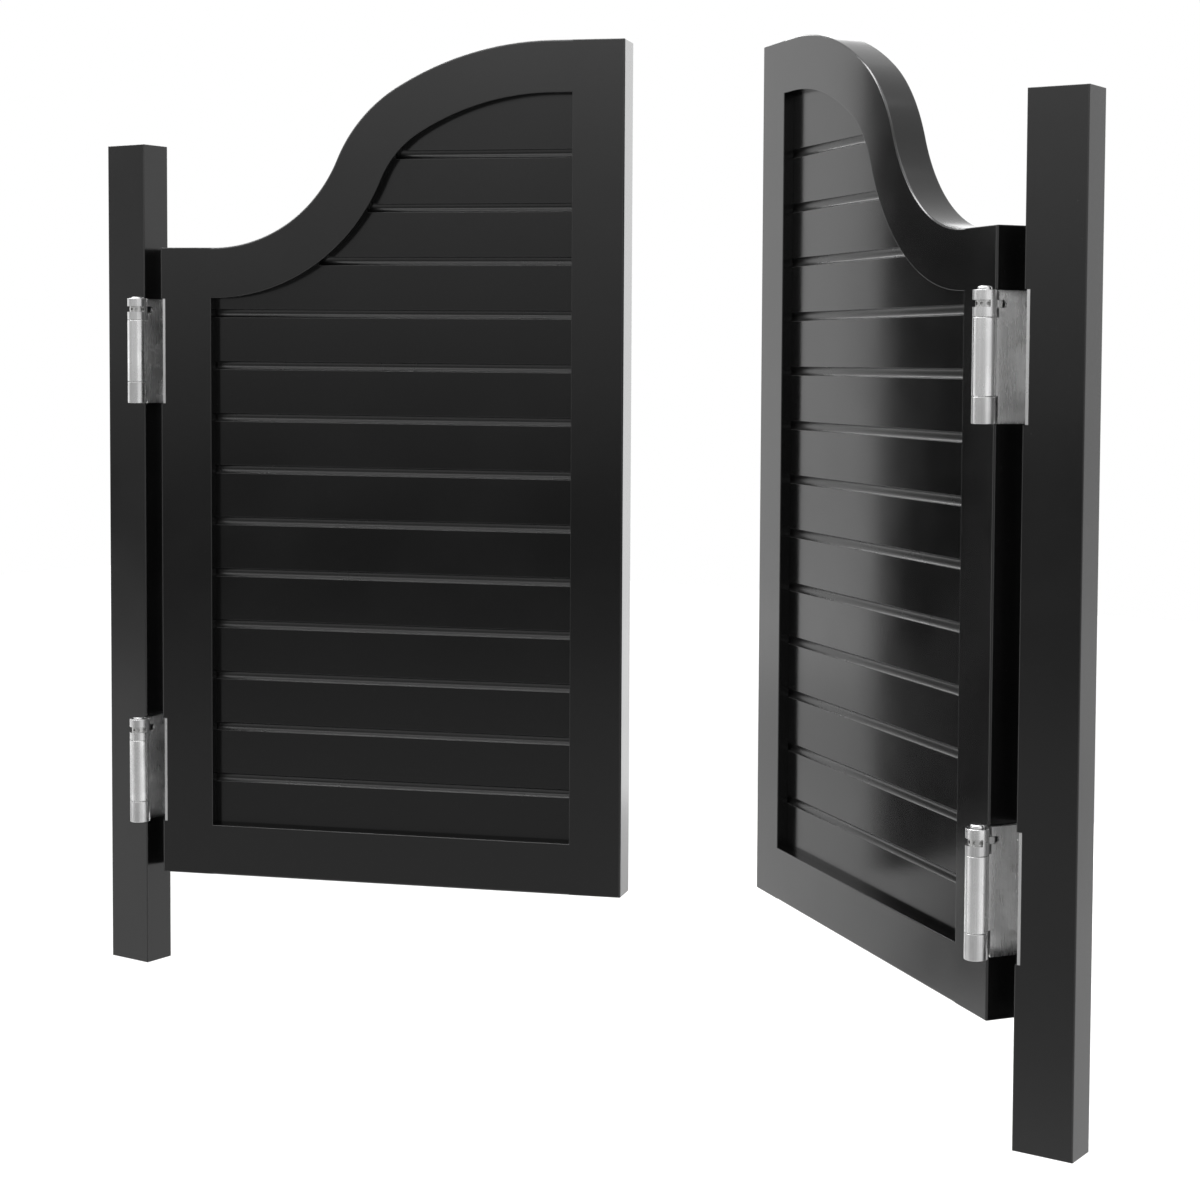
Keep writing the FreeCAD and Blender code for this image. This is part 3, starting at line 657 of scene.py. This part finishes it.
@dataclass(frozen=True)
class Doorway:
    """Where the doors hang between the posts, each turned about the door's side of its hinges.

    The doors begin 92 mm above the foot of the posts, whose middle is at nought.
    """

    foot: float = (92 - 795 / 2) * MM
    axis_y: float = 25.6 * MM
    left_edge: float = 54.5 * MM
    left_axis: float = 52.25 * MM
    left_turn: float = 20.5
    right_edge: float = 980.5 * MM
    right_axis: float = 982.75 * MM
    right_turn: float = -35.0

    def places(self) -> dict[str, Place]:
        """Finds where both doors stand.

        Returns:
            A place for each side.
        """
        left_pivot, right_pivot = (self.left_axis, self.axis_y), (self.right_axis, self.axis_y)
        return {
            "left": Place(self.left_edge, 1, self.foot, left_pivot, self.left_turn),
            "right": Place(self.right_edge, -1, self.foot, right_pivot, self.right_turn),
        }


def dress(piece: bpy.types.Object, material: bpy.types.Material) -> None:
    """Gives a piece one material, in place of any that it has."""
    piece.data.materials.clear()
    piece.data.materials.append(material)


# ---------------------------------------------------------------- shader trees
def grey(level: float) -> Colour:
    """Opaque grey of some level."""
    return level, level, level, 1.0


class Tree:
    """Short-hand for adding and joining nodes of one node tree."""

    def __init__(self, tree: bpy.types.NodeTree) -> None:
        """Takes over an empty tree."""
        self.tree = tree

    def add(self, kind: str, **settings: object) -> bpy.types.Node:
        """Adds a node.

        Args:
            kind: its type.
            **settings: its properties.

        Returns:
            The new node.
        """
        node = self.tree.nodes.new(kind)
        for name, value in settings.items():
            setattr(node, name, value)
        return node

    def join(self, output: Socket, target: Socket) -> None:
        """Joins an output to an input."""
        self.tree.links.new(output, target)

    def feed(self, target: Socket, source: Source) -> None:
        """Gives an input its source.

        Args:
            target: the input.
            source: what it takes.
        """
        if isinstance(source, Socket):
            self.join(source, target)
        else:
            target.default_value = source

    def maths(self, operation: str, first: Source, second: Source, clamp: bool = False) -> Socket:
        """Adds a Math node.

        Args:
            operation: its operation.
            first: its first source.
            second: its second source.
            clamp: whether the result is held between 0 and 1.

        Returns:
            The result.
        """
        node = self.add("ShaderNodeMath", operation=operation, use_clamp=clamp)
        self.feed(node.inputs[0], first)
        self.feed(node.inputs[1], second)
        return node.outputs[0]

    def spread(self, value: Source, low: float, high: float, new_low: float = 0.0,
               new_high: float = 1.0) -> Socket:
        """Maps one range to another and holds the result inside it.

        Args:
            value: source of the value.
            low: value that becomes new_low.
            high: value that becomes new_high.
            new_low: result at low.
            new_high: result at high.

        Returns:
            The result.
        """
        node = self.add("ShaderNodeMapRange", clamp=True)
        for socket, number in zip(node.inputs[1:5], (low, high, new_low, new_high)):
            socket.default_value = number
        self.feed(node.inputs[0], value)
        return node.outputs[0]

    def blend(self, share: Source, first: Source, second: Source) -> Socket:
        """Blends two colours.

        Args:
            share: share of the second colour.
            first: the first colour.
            second: the second colour.

        Returns:
            The colour between them.
        """
        node = self.add("ShaderNodeMix", data_type="RGBA")
        self.feed(node.inputs[0], share)
        self.feed(node.inputs[6], first)
        self.feed(node.inputs[7], second)
        return node.outputs[2]

    def object_place(self) -> Socket:
        """Object coordinates."""
        return self.add("ShaderNodeTexCoord").outputs["Object"]

    def noise(self, place: Socket, scale: Source, detail: float) -> Socket:
        """Adds a noise.

        Args:
            place: the coordinates that it reads.
            scale: lumps to the metre.
            detail: how many finer layers lie over it.

        Returns:
            Its value.
        """
        node = self.add("ShaderNodeTexNoise")
        self.join(place, node.inputs["Vector"])
        self.feed(node.inputs["Scale"], scale)
        node.inputs["Detail"].default_value = detail
        return node.outputs["Fac"]

    def stretched_noise(self, place: Socket, rates: tuple[Socket, ...], detail: float) -> Socket:
        """Adds a noise whose lumps differ in length along the axes.

        Args:
            place: the coordinates that it reads.
            rates: lumps to the metre along each axis.
            detail: how many finer layers lie over it.

        Returns:
            Its value.
        """
        parts = self.add("ShaderNodeSeparateXYZ")
        self.join(place, parts.inputs[0])
        joined = self.add("ShaderNodeCombineXYZ")
        for axis, rate in enumerate(rates):
            self.join(self.maths("MULTIPLY", parts.outputs[axis], rate), joined.inputs[axis])
        return self.noise(joined.outputs[0], scale=1.0, detail=detail)

    def mask(self, name: str) -> Socket:
        """Value of a mask that the piece's mesh holds."""
        return self.add("ShaderNodeAttribute", attribute_name=name).outputs["Fac"]

    def sight(self) -> Socket:
        """Tells what is looked at from what only gives light.

        Returns:
            One for the camera, gloss and glass, and nought for the light that falls on things.
        """
        path = self.add("ShaderNodeLightPath")
        gloss, glass = path.outputs["Is Glossy Ray"], path.outputs["Is Transmission Ray"]
        mirrored = self.maths("MAXIMUM", gloss, glass)
        return self.maths("MAXIMUM", path.outputs["Is Camera Ray"], mirrored)

    def effect(self, group: bpy.types.NodeTree, **values: float) -> bpy.types.Node:
        """Places a shared effect.

        Args:
            group: the effect.
            **values: its own values here, by the names of its inputs.

        Returns:
            The effect's node.
        """
        node = self.add("ShaderNodeGroup", node_tree=group)
        for name, value in values.items():
            node.inputs[name].default_value = value
        return node


def new_effect(name: str, inputs: tuple[str, ...],
               outputs: tuple[str, ...]) -> tuple[Tree, bpy.types.Node, bpy.types.Node]:
    """Starts a shared effect whose inputs and outputs are plain numbers.

    Args:
        name: name of the effect.
        inputs: names of its inputs.
        outputs: names of its outputs.

    Returns:
        Its tree, its input node and its output node.
    """
    group = bpy.data.node_groups.new(name, "ShaderNodeTree")
    for socket in inputs:
        group.interface.new_socket(socket, in_out="INPUT", socket_type="NodeSocketFloat")
    for socket in outputs:
        group.interface.new_socket(socket, in_out="OUTPUT", socket_type="NodeSocketFloat")
    tree = Tree(group)
    return tree, tree.add("NodeGroupInput"), tree.add("NodeGroupOutput")


# Values of each noise between which an effect comes in from nought to one.
GRAINS = (0.58, 0.74)
PATCHES = (0.35, 0.65)
LINES = (0.3, 0.7)
# Chance above which a cell of the dust pattern holds a speck, and at which it is full-sized.
SPECKS = (0.72, 1.0)


def speckle_effect() -> bpy.types.NodeTree:
    """Fine grit of dried paint or blasted steel: a noise, and its peaks as sparse grains.

    Returns:
        The effect, which gives the grains and a pebbled height.
    """
    tree, given, out = new_effect("speckle", ("Scale",), ("Grains", "Height"))
    fine = tree.noise(tree.object_place(), given.outputs["Scale"], detail=3.0)
    tree.join(tree.spread(fine, *GRAINS), out.inputs["Grains"])
    tree.join(fine, out.inputs["Height"])
    return tree.tree


def cloud_effect() -> bpy.types.NodeTree:
    """Soft patches left by hands, cloths and uneven coats: a smooth noise.

    Returns:
        The effect, which gives the patches.
    """
    tree, given, out = new_effect("cloud", ("Scale",), ("Patches",))
    soft = tree.noise(tree.object_place(), given.outputs["Scale"], detail=4.0)
    tree.join(tree.spread(soft, *PATCHES), out.inputs["Patches"])
    return tree.tree


def dust_effect() -> bpy.types.NodeTree:
    """Sparse specks of dust: small dots round the points of a Voronoi pattern, few of them kept.

    Returns:
        The effect, which gives one on a speck and nought beside it.
    """
    tree, given, out = new_effect("dust", ("Scale", "Size"), ("Specks",))
    cells = tree.add("ShaderNodeTexVoronoi", feature="F1")
    tree.join(tree.object_place(), cells.inputs["Vector"])
    tree.join(given.outputs["Scale"], cells.inputs["Scale"])
    chance = tree.add("ShaderNodeSeparateColor")
    tree.join(cells.outputs["Color"], chance.inputs[0])
    kept = tree.spread(chance.outputs[0], *SPECKS)
    reach = tree.maths("MULTIPLY", given.outputs["Size"], kept)
    tree.join(tree.maths("LESS_THAN", cells.outputs["Distance"], reach), out.inputs["Specks"])
    return tree.tree


def drawn_effect() -> bpy.types.NodeTree:
    """Fine upright lines of drawn and rolled steel: a noise that is long in height.

    Returns:
        The effect, which gives the lines.
    """
    tree, given, out = new_effect("drawn", ("Across", "Along"), ("Lines",))
    rates = tuple(given.outputs[rate] for rate in ("Across", "Across", "Along"))
    lines = tree.stretched_noise(tree.object_place(), rates, detail=3.0)
    tree.join(tree.spread(lines, *LINES), out.inputs["Lines"])
    return tree.tree


def grain_effect() -> bpy.types.NodeTree:
    """Wood grain that shows through the coats: a noise long along the piece and fine round it.

    Returns:
        The effect, which gives a height.
    """
    tree, given, out = new_effect("grain", ("Along", "Round"), ("Height",))
    place = tree.add("ShaderNodeUVMap", uv_map=GRAIN_MAP).outputs["UV"]
    rates = (given.outputs["Along"], given.outputs["Round"])
    tree.join(tree.stretched_noise(place, rates, detail=4.0), out.inputs["Height"])
    return tree.tree


@dataclass(frozen=True)
class Effects:
    """The shared effects, built once."""

    speckle: bpy.types.NodeTree = field(default_factory=speckle_effect)
    cloud: bpy.types.NodeTree = field(default_factory=cloud_effect)
    dust: bpy.types.NodeTree = field(default_factory=dust_effect)
    grain: bpy.types.NodeTree = field(default_factory=grain_effect)
    drawn: bpy.types.NodeTree = field(default_factory=drawn_effect)


def empty_tree(holder: bpy.types.Material | bpy.types.World) -> Tree:
    """Clears the nodes of a material or of the world.

    Args:
        holder: the material or the world.

    Returns:
        Its empty tree.
    """
    holder.use_nodes = True
    holder.node_tree.nodes.clear()
    return Tree(holder.node_tree)


def new_material(name: str) -> tuple[Tree, bpy.types.Material, bpy.types.Node]:
    """Starts a material with a Principled shader on its output.

    Args:
        name: name of the material.

    Returns:
        Its tree, the material and its shader node.
    """
    material = bpy.data.materials.new(name)
    tree = empty_tree(material)
    shader = tree.add("ShaderNodeBsdfPrincipled")
    tree.join(shader.outputs[0], tree.add("ShaderNodeOutputMaterial").inputs[0])
    return tree, material, shader


def bumped(tree: Tree, height: Socket, strength: float, distance: float) -> Socket:
    """Normal of a height.

    Args:
        tree: tree of the material.
        height: the height, from 0 to 1.
        strength: share of the bump that shows.
        distance: height in metres that 1 stands for.

    Returns:
        The normal output.
    """
    bump = tree.add("ShaderNodeBump")
    bump.inputs["Strength"].default_value = strength
    bump.inputs["Distance"].default_value = distance
    tree.join(height, bump.inputs["Height"])
    return bump.outputs[0]


@dataclass(frozen=True)
class Paint:
    """Satin black paint over wood, rubbed lighter on the arrises, with a painted highlight on the
    coves' lower lips, and gritty in the coves.

    The rates are lumps to the metre, and the shares say how much of each effect shows.
    """

    name: str
    colour: Colour = grey(0.0034)
    # Lighter grey of the rubbed arrises, which also paints the highlight on the coves' lower lips.
    rubbed_and_highlight: Colour = grey(0.06)
    gloss: float = 0.5
    roughness: float = 0.17
    patchiness: float = 0.03
    patch_rate: float = 9.0
    cove_dullness: float = 0.12
    arris_share: float = 0.3
    # Share of that grey on a cove's lower lip: a painted highlight, as the lip faces up to the
    # light.
    lip_highlight_share: float = 0.6
    grit: float = 1.0
    grit_rate: float = 1400.0
    grit_on_face: float = 0.12
    grit_in_cove: float = 0.6
    dust_share: float = 0.5
    dust_rate: float = 260.0
    dust_size: float = 0.11
    grain_share: float = 0.22
    grain_along: float = 25.0
    grain_round: float = 900.0
    relief_share: float = 0.35
    relief: float = 0.12 * MM

    def build(self, effects: Effects) -> bpy.types.Material:
        """Makes the material.

        Args:
            effects: the shared effects.

        Returns:
            The new material.
        """
        tree, material, shader = new_material(self.name)
        shader.inputs["Specular IOR Level"].default_value = self.gloss
        speckle = tree.effect(effects.speckle, Scale=self.grit_rate)
        cloud = tree.effect(effects.cloud, Scale=self.patch_rate)
        grain = tree.effect(effects.grain, Along=self.grain_along, Round=self.grain_round)
        dust = tree.effect(effects.dust, Scale=self.dust_rate, Size=self.dust_size)
        arris, cove, lip = tree.mask("arris"), tree.mask("cove"), tree.mask("lip")
        on_face, in_cove = self.grit_on_face * self.grit, self.grit_in_cove * self.grit
        gritty = tree.spread(cove, 0.0, 1.0, on_face, in_cove)
        grains = tree.maths("MULTIPLY", speckle.outputs["Grains"], gritty)
        # Rubbed arrises, and a painted highlight on the lower lips of the coves.
        rubbed_and_highlight = tree.maths("MAXIMUM", tree.maths("MULTIPLY", arris, self.arris_share),
                            tree.maths("MULTIPLY", lip, self.lip_highlight_share))
        dusty = tree.maths("MULTIPLY", dust.outputs["Specks"], self.dust_share)
        light = tree.maths("MAXIMUM", tree.maths("ADD", grains, rubbed_and_highlight), dusty)
        tree.join(tree.blend(light, self.colour, self.rubbed_and_highlight), shader.inputs["Base Color"])
        worn = (self.roughness - self.patchiness, self.roughness + self.patchiness)
        patchy = tree.spread(cloud.outputs["Patches"], 0.0, 1.0, *worn)
        dull = tree.maths("MULTIPLY", cove, self.cove_dullness)
        tree.join(tree.maths("ADD", patchy, dull, clamp=True), shader.inputs["Roughness"])
        coarse = tree.maths("MULTIPLY", speckle.outputs["Height"], gritty)
        fibres = tree.maths("MULTIPLY", grain.outputs["Height"], self.grain_share)
        relief = bumped(tree, tree.maths("ADD", coarse, fibres), self.relief_share, self.relief)
        tree.join(relief, shader.inputs["Normal"])
        return material


class Polish(Enum):
    """How a steel part was finished."""

    SATIN = "satin"
    ROLLED_SHADED = "rolled"
    BRIGHT = "bright"
    DULL = "dull"
    OILED = "oiled"


# Colour where each polish is clean and where it is soiled, and its roughness.
POLISHES = {
    Polish.SATIN: (grey(0.88), grey(0.64), 0.24),
    # The leaves' greys are darker as painted shade, for the narrow space between post and web where
    # they sit.
    Polish.ROLLED_SHADED: (grey(0.76), grey(0.52), 0.26),
    Polish.BRIGHT: (grey(0.82), grey(0.70), 0.2),
    Polish.DULL: ((0.56, 0.56, 0.555, 1.0), (0.44, 0.44, 0.435, 1.0), 0.3),
    Polish.OILED: ((0.34, 0.335, 0.33, 1.0), (0.20, 0.195, 0.19, 1.0), 0.30),
}


@dataclass(frozen=True)
class Steel:
    """Stainless or spring steel with smudges, fine drawn lines and a satin grain.

    The rates are lumps to the metre, and the shares say how much of each effect shows.
    """

    name: str
    polish: Polish
    smudge_rate: float = 38.0
    grain_rate: float = 2600.0
    lines_across: float = 700.0
    lines_along: float = 9.0
    soiled_share: float = 0.6
    smoother: float = 0.05
    rougher: float = 0.07
    relief_share: float = 0.18
    relief: float = 0.05 * MM

    def build(self, effects: Effects) -> bpy.types.Material:
        """Makes the material.

        Args:
            effects: the shared effects.

        Returns:
            The new material.
        """
        clean, soiled, roughness = POLISHES[self.polish]
        tree, material, shader = new_material(self.name)
        shader.inputs["Metallic"].default_value = 1.0
        cloud = tree.effect(effects.cloud, Scale=self.smudge_rate)
        speckle = tree.effect(effects.speckle, Scale=self.grain_rate)
        drawn = tree.effect(effects.drawn, Across=self.lines_across, Along=self.lines_along)
        marks = tree.maths("ADD", cloud.outputs["Patches"], drawn.outputs["Lines"])
        soil = tree.maths("MULTIPLY", marks, self.soiled_share)
        tree.join(tree.blend(soil, clean, soiled), shader.inputs["Base Color"])
        worn = (roughness - self.smoother, roughness + self.rougher)
        tree.join(tree.spread(soil, 0.0, 1.0, *worn), shader.inputs["Roughness"])
        relief = bumped(tree, speckle.outputs["Height"], self.relief_share, self.relief)
        tree.join(relief, shader.inputs["Normal"])
        return material


@dataclass(frozen=True)
class Hinges:
    """The four spring hinges, which keep the frame's solids. A name ends with its kind."""

    steels: tuple[tuple[tuple[str, ...], Steel], ...] = (
        (("web",), Steel("web_steel", Polish.SATIN)),
        # The leaves get the darker steel as painted shade between post and web.
        (("leaf",), Steel("leaf_steel", Polish.ROLLED_SHADED)),
        (("pins",), Steel("pin_steel", Polish.BRIGHT)),
        (("collars", "screws"), Steel("collar_and_screw_steel", Polish.DULL)),
        (("springs",), Steel("spring_steel_oiled", Polish.OILED)),
    )

    def build(self, nodes: dict[str, bpy.types.Object], effects: Effects) -> None:
        """Gives the solids their steels.

        Args:
            nodes: the frame's nodes by name.
            effects: the shared effects.
        """
        for kinds, steel in self.steels:
            material = steel.build(effects)
            for name, node in nodes.items():
                if name.endswith(kinds):
                    dress(node, material)
                    LOG.info("gave %s its %s", name, steel.name)


# ---------------------------------------------------------------- studio
def studio_board(name: str, corners: list[Point], faces: list[tuple]) -> bpy.types.Object:
    """Makes a flat or folded board of the studio.

    Args:
        name: name of the board.
        corners: its corners.
        faces: the corner numbers of its faces.

    Returns:
        The new object.
    """
    mesh = bpy.data.meshes.new(name)
    mesh.from_pydata(corners, [], faces)
    board = bpy.data.objects.new(name, mesh)
    bpy.context.scene.collection.objects.link(board)
    return board


def only_in_gloss(board: bpy.types.Object) -> None:
    """Makes a studio board show in gloss alone.

    Args:
        board: the board.
    """
    board.visible_camera = False
    board.visible_diffuse = False
    board.visible_transmission = False
    board.visible_shadow = False


@dataclass(frozen=True)
class Panel:
    """A soft panel of light. One for gloss gives highlights and adds no light of its own."""

    name: str
    at: Point
    size: Span
    power: float
    for_gloss: bool = False

    def build(self, target: Point) -> None:
        """Hangs the panel, unseen itself.

        Args:
            target: the point that it faces.
        """
        light = bpy.data.lights.new(self.name, "AREA")
        light.shape = "RECTANGLE"
        light.size, light.size_y = self.size
        light.energy = self.power
        panel = bpy.data.objects.new(self.name, light)
        panel.matrix_world = facing(self.at, target)
        panel.visible_camera = False
        panel.visible_diffuse = not self.for_gloss
        bpy.context.scene.collection.objects.link(panel)


@dataclass(frozen=True)
class Studio:
    """A pale room: a floor far below the doors, soft panels of light and a white surround.

    A field with two numbers is the stretch over which a shade changes, or a board's two ends.
    """

    middle: Point = (0.52, 0.1, 0.05)
    floor_z: float = -0.85
    floor_size: float = 14.0
    floor_colour: Colour = grey(0.82)
    floor_roughness: float = 0.9
    floor_away: Span = (2.5, 6.0)
    floor_glow: Span = (0.32, 0.55)
    flag_sides: Span = (-3.4, -0.95)
    flag_reach: Span = (-0.8, 0.38)
    flag_shade: float = 0.18
    screen_reach: Span = (-0.3, -3.5)
    screen_sides: Span = (-1.0, 4.0)
    screen_left: float = -6.0
    screen_ends: Span = (-0.84, 1.36)
    screen_right_from: Span = (2.1, 2.7)
    screen_whites: Span = (1.3, 1.45)
    screen_near_from: Span = (-1.6, -1.0)
    screen_near: float = 1.9
    corner_sides: Span = (-2.4, -1.6)
    corner_heights: Span = (0.35, 0.85)
    corner_dark: float = 0.55
    screen_shades: tuple[Span, ...] = (
        (0.0, 0.40), (0.10, 0.30), (0.18, 0.18), (0.25, 0.14), (0.31, 0.18), (0.38, 0.28),
        (0.44, 0.36), (0.50, 0.42), (0.58, 0.53), (0.70, 0.62), (0.82, 0.9), (1.0, 1.0),
    )
    room_depth: Span = (-0.35, 0.25)
    room_light: Span = (0.30, 1.0)
    panels: tuple[Panel, ...] = (
        Panel("top_panel", (0.5, -0.3, 2.6), (2.6, 2.2), 34.0),
        Panel("left_panel", (-2.6, 0.3, 0.6), (1.8, 2.4), 4.5),
        Panel("right_panel", (3.0, 1.7, 0.5), (2.0, 2.0), 4.5),
        Panel("back_panel", (0.2, 3.0, 0.45), (2.4, 2.6), 29.0),
        Panel("front_panel", (-0.5, -3.3, 1.85), (4.0, 0.8), 28.0, for_gloss=True),
        Panel("left_back_panel", (-1.5, 1.5, 1.7), (0.9, 0.6), 9.0, for_gloss=True),
        Panel("left_top_panel", (-0.85, -0.3, 2.15), (0.8, 2.2), 60.0, for_gloss=True),
    )

    def floor(self) -> None:
        """Pale floor that keeps a soft shadow and otherwise meets the surround without a line."""
        corners = np.array([(-1, -1), (1, -1), (1, 1), (-1, 1)]) * self.floor_size / 2
        points = np.insert(corners, 2, self.floor_z, axis=1)
        floor = studio_board("floor", points.tolist(), [(0, 1, 2, 3)])
        tree, material, shader = new_material("pale_floor")
        shader.inputs["Base Color"].default_value = self.floor_colour
        shader.inputs["Roughness"].default_value = self.floor_roughness
        shader.inputs["Emission Color"].default_value = grey(1.0)
        away = tree.add("ShaderNodeVectorMath", operation="LENGTH")
        tree.join(tree.object_place(), away.inputs[0])
        glow = tree.spread(away.outputs["Value"], *self.floor_away, *self.floor_glow)
        seen = tree.maths("MULTIPLY", tree.sight(), glow)
        tree.join(seen, shader.inputs["Emission Strength"])
        dress(floor, material)

    def screen(self) -> None:
        """Grey sweep in front of the doors, which only their gloss shows.

        It lies on the floor and rises far in front of the doors. Its shade goes by height, from
        dark near its foot to white at its head. Its right side and its part close to the doors
        are lighter, and its upper left corner is darker.
        """
        low, high = self.screen_ends
        near, far = self.screen_reach
        left, right = self.screen_sides
        corners = [
            (right, near, low), (left, near, low), (left, far, low), (right, far, low),
            (self.screen_left, far, low), (self.screen_left, far, high), (right, far, high),
        ]
        screen = studio_board("screen", corners, [(0, 1, 2, 3), (3, 4, 5, 6)])
        material = bpy.data.materials.new("screen_cloth")
        tree = empty_tree(material)
        place = tree.add("ShaderNodeSeparateXYZ")
        tree.join(tree.object_place(), place.inputs[0])
        across, through, up = place.outputs
        shades = tree.add("ShaderNodeFloatCurve")
        curve = shades.mapping.curves[0]
        for share, shade in self.screen_shades[1:-1]:
            curve.points.new(share, shade)
        curve.points[0].location = self.screen_shades[0]
        curve.points[-1].location = self.screen_shades[-1]
        shades.mapping.update()
        tree.join(tree.spread(up, low, high), shades.inputs["Value"])
        lit = tree.spread(across, *self.screen_right_from, *self.screen_whites)
        near_by = tree.spread(through, *self.screen_near_from, 1.0, self.screen_near)
        to_left = tree.spread(across, *self.corner_sides, 1.0, 0.0)
        to_top = tree.spread(up, *self.corner_heights, 0.0, self.corner_dark)
        corner = tree.maths("SUBTRACT", 1.0, tree.maths("MULTIPLY", to_left, to_top))
        level = tree.maths("MULTIPLY", tree.maths("MULTIPLY", lit, near_by), corner)
        glow = tree.add("ShaderNodeEmission")
        tree.join(tree.maths("MULTIPLY", shades.outputs[0], level), glow.inputs["Strength"])
        tree.join(glow.outputs[0], tree.add("ShaderNodeOutputMaterial").inputs[0])
        dress(screen, material)
        only_in_gloss(screen)

    def flag(self) -> None:
        """Grey board on the floor at the left, which takes the glare off the right door's foot."""
        (left, right), (near, far) = self.flag_sides, self.flag_reach
        level = self.screen_ends[0]
        corners = [
            (left, near, level), (right, near, level), (right, far, level), (left, far, level),
        ]
        flag = studio_board("flag", corners, [(0, 1, 2, 3)])
        _, material, shader = new_material("flag_board")
        shader.inputs["Base Color"].default_value = grey(0.0)
        shader.inputs["Emission Color"].default_value = grey(1.0)
        shader.inputs["Emission Strength"].default_value = self.flag_shade
        dress(flag, material)
        only_in_gloss(flag)

    def surround(self) -> None:
        """White for the camera, and for the light a soft room that is brighter behind."""
        world = bpy.data.worlds.new("studio")
        bpy.context.scene.world = world
        tree = empty_tree(world)
        direction = tree.add("ShaderNodeSeparateXYZ")
        tree.join(tree.add("ShaderNodeTexCoord").outputs["Generated"], direction.inputs[0])
        behind = tree.spread(direction.outputs[1], *self.room_depth, *self.room_light)
        background = tree.add("ShaderNodeBackground")
        background.inputs["Color"].default_value = grey(1.0)
        level = tree.maths("MAXIMUM", tree.sight(), behind)
        tree.join(level, background.inputs["Strength"])
        tree.join(background.outputs[0], tree.add("ShaderNodeOutputWorld").inputs[0])

    def build(self) -> None:
        """Makes the floor, the surround, the boards that only gloss shows, and the panels."""
        self.floor()
        self.surround()
        self.screen()
        self.flag()
        for panel in self.panels:
            panel.build(self.middle)


def frame_matrix(at: np.ndarray, right: np.ndarray, up: np.ndarray) -> Matrix:
    """Matrix of something that stands at a point: its columns are its axes, then the point.

    Args:
        at: where it stands.
        right: direction of its right side.
        up: direction of its upper side.

    Returns:
        A 4 by 4 matrix, whose third axis points backwards.
    """
    back = np.cross(right, up)
    rows = np.stack([right, up, back, at], axis=-1).tolist()
    return Matrix(rows + [[0.0, 0.0, 0.0, 1.0]])


def facing(at: Point, target: Point) -> Matrix:
    """Matrix of something at a point that looks at another, upright.

    Args:
        at: where it stands.
        target: what it looks at.

    Returns:
        A 4 by 4 matrix.
    """
    ahead = np.array(target) - np.array(at)
    ahead = ahead / np.linalg.norm(ahead)
    level = np.array([0.0, 1.0, 0.0]) if abs(ahead[2]) > STEEP else np.array([0.0, 0.0, 1.0])
    right = np.cross(ahead, level)
    right = right / np.linalg.norm(right)
    return frame_matrix(np.array(at), right, np.cross(right, ahead))


@dataclass(frozen=True)
class Viewpoint:
    """Where the doors are seen from. Yaw turns to the left, pitch down, roll clockwise.

    The focal length, the middle and the width of the view are in pixels, the sensor is in
    millimetres, and the rest is in metres and degrees.
    """

    at: Point = (1.69526, -1.48780, 0.19271)
    yaw: float = 31.77
    pitch: float = 2.89
    roll: float = 0.55
    focal: float = 2194.88
    middle: Span = (790.16, 474.93)
    width: float = 1200.0
    sensor: float = 36.0
    far: float = 50.0

    def build(self) -> None:
        """Makes the camera. Its lens is the focal length in pixels times sensor over width."""
        yaw, pitch, roll = (math.radians(a) for a in (self.yaw, self.pitch, self.roll))
        ahead = np.array([-math.sin(yaw) * math.cos(pitch), math.cos(yaw) * math.cos(pitch),
                          -math.sin(pitch)])
        level = np.array([math.cos(yaw), math.sin(yaw), 0.0])
        above = np.cross(level, ahead)
        right = math.cos(roll) * level + math.sin(roll) * above
        up = math.cos(roll) * above - math.sin(roll) * level
        data = bpy.data.cameras.new("camera")
        data.sensor_width = self.sensor
        data.lens = self.focal * self.sensor / self.width
        data.shift_x = 0.5 - self.middle[0] / self.width
        data.shift_y = self.middle[1] / self.width - 0.5
        data.clip_end = self.far
        camera = bpy.data.objects.new("camera", data)
        bpy.context.scene.collection.objects.link(camera)
        camera.matrix_world = frame_matrix(np.array(self.at), right, up)
        bpy.context.scene.camera = camera


def main() -> None:
    """Builds the doors' looks, the studio and the camera."""
    logging.basicConfig(level=logging.INFO, format="%(name)s: %(message)s")
    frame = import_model()
    bpy.context.scene.view_settings.view_transform = "Standard"
    effects = Effects()
    frame_paint = Paint("frame_paint").build(effects)
    board_paint = Paint("board_paint", gloss=0.4, grit=1.1, grain_round=700.0).build(effects)
    Posts().build(Paint("post_paint", roughness=0.2).build(effects))
    for side, place in Doorway().places().items():
        Door(side, place).build(frame_paint, board_paint)
    Hinges().build(frame["nodes"], effects)
    Studio().build()
    Viewpoint().build()


if __name__ == "__main__":
    main()
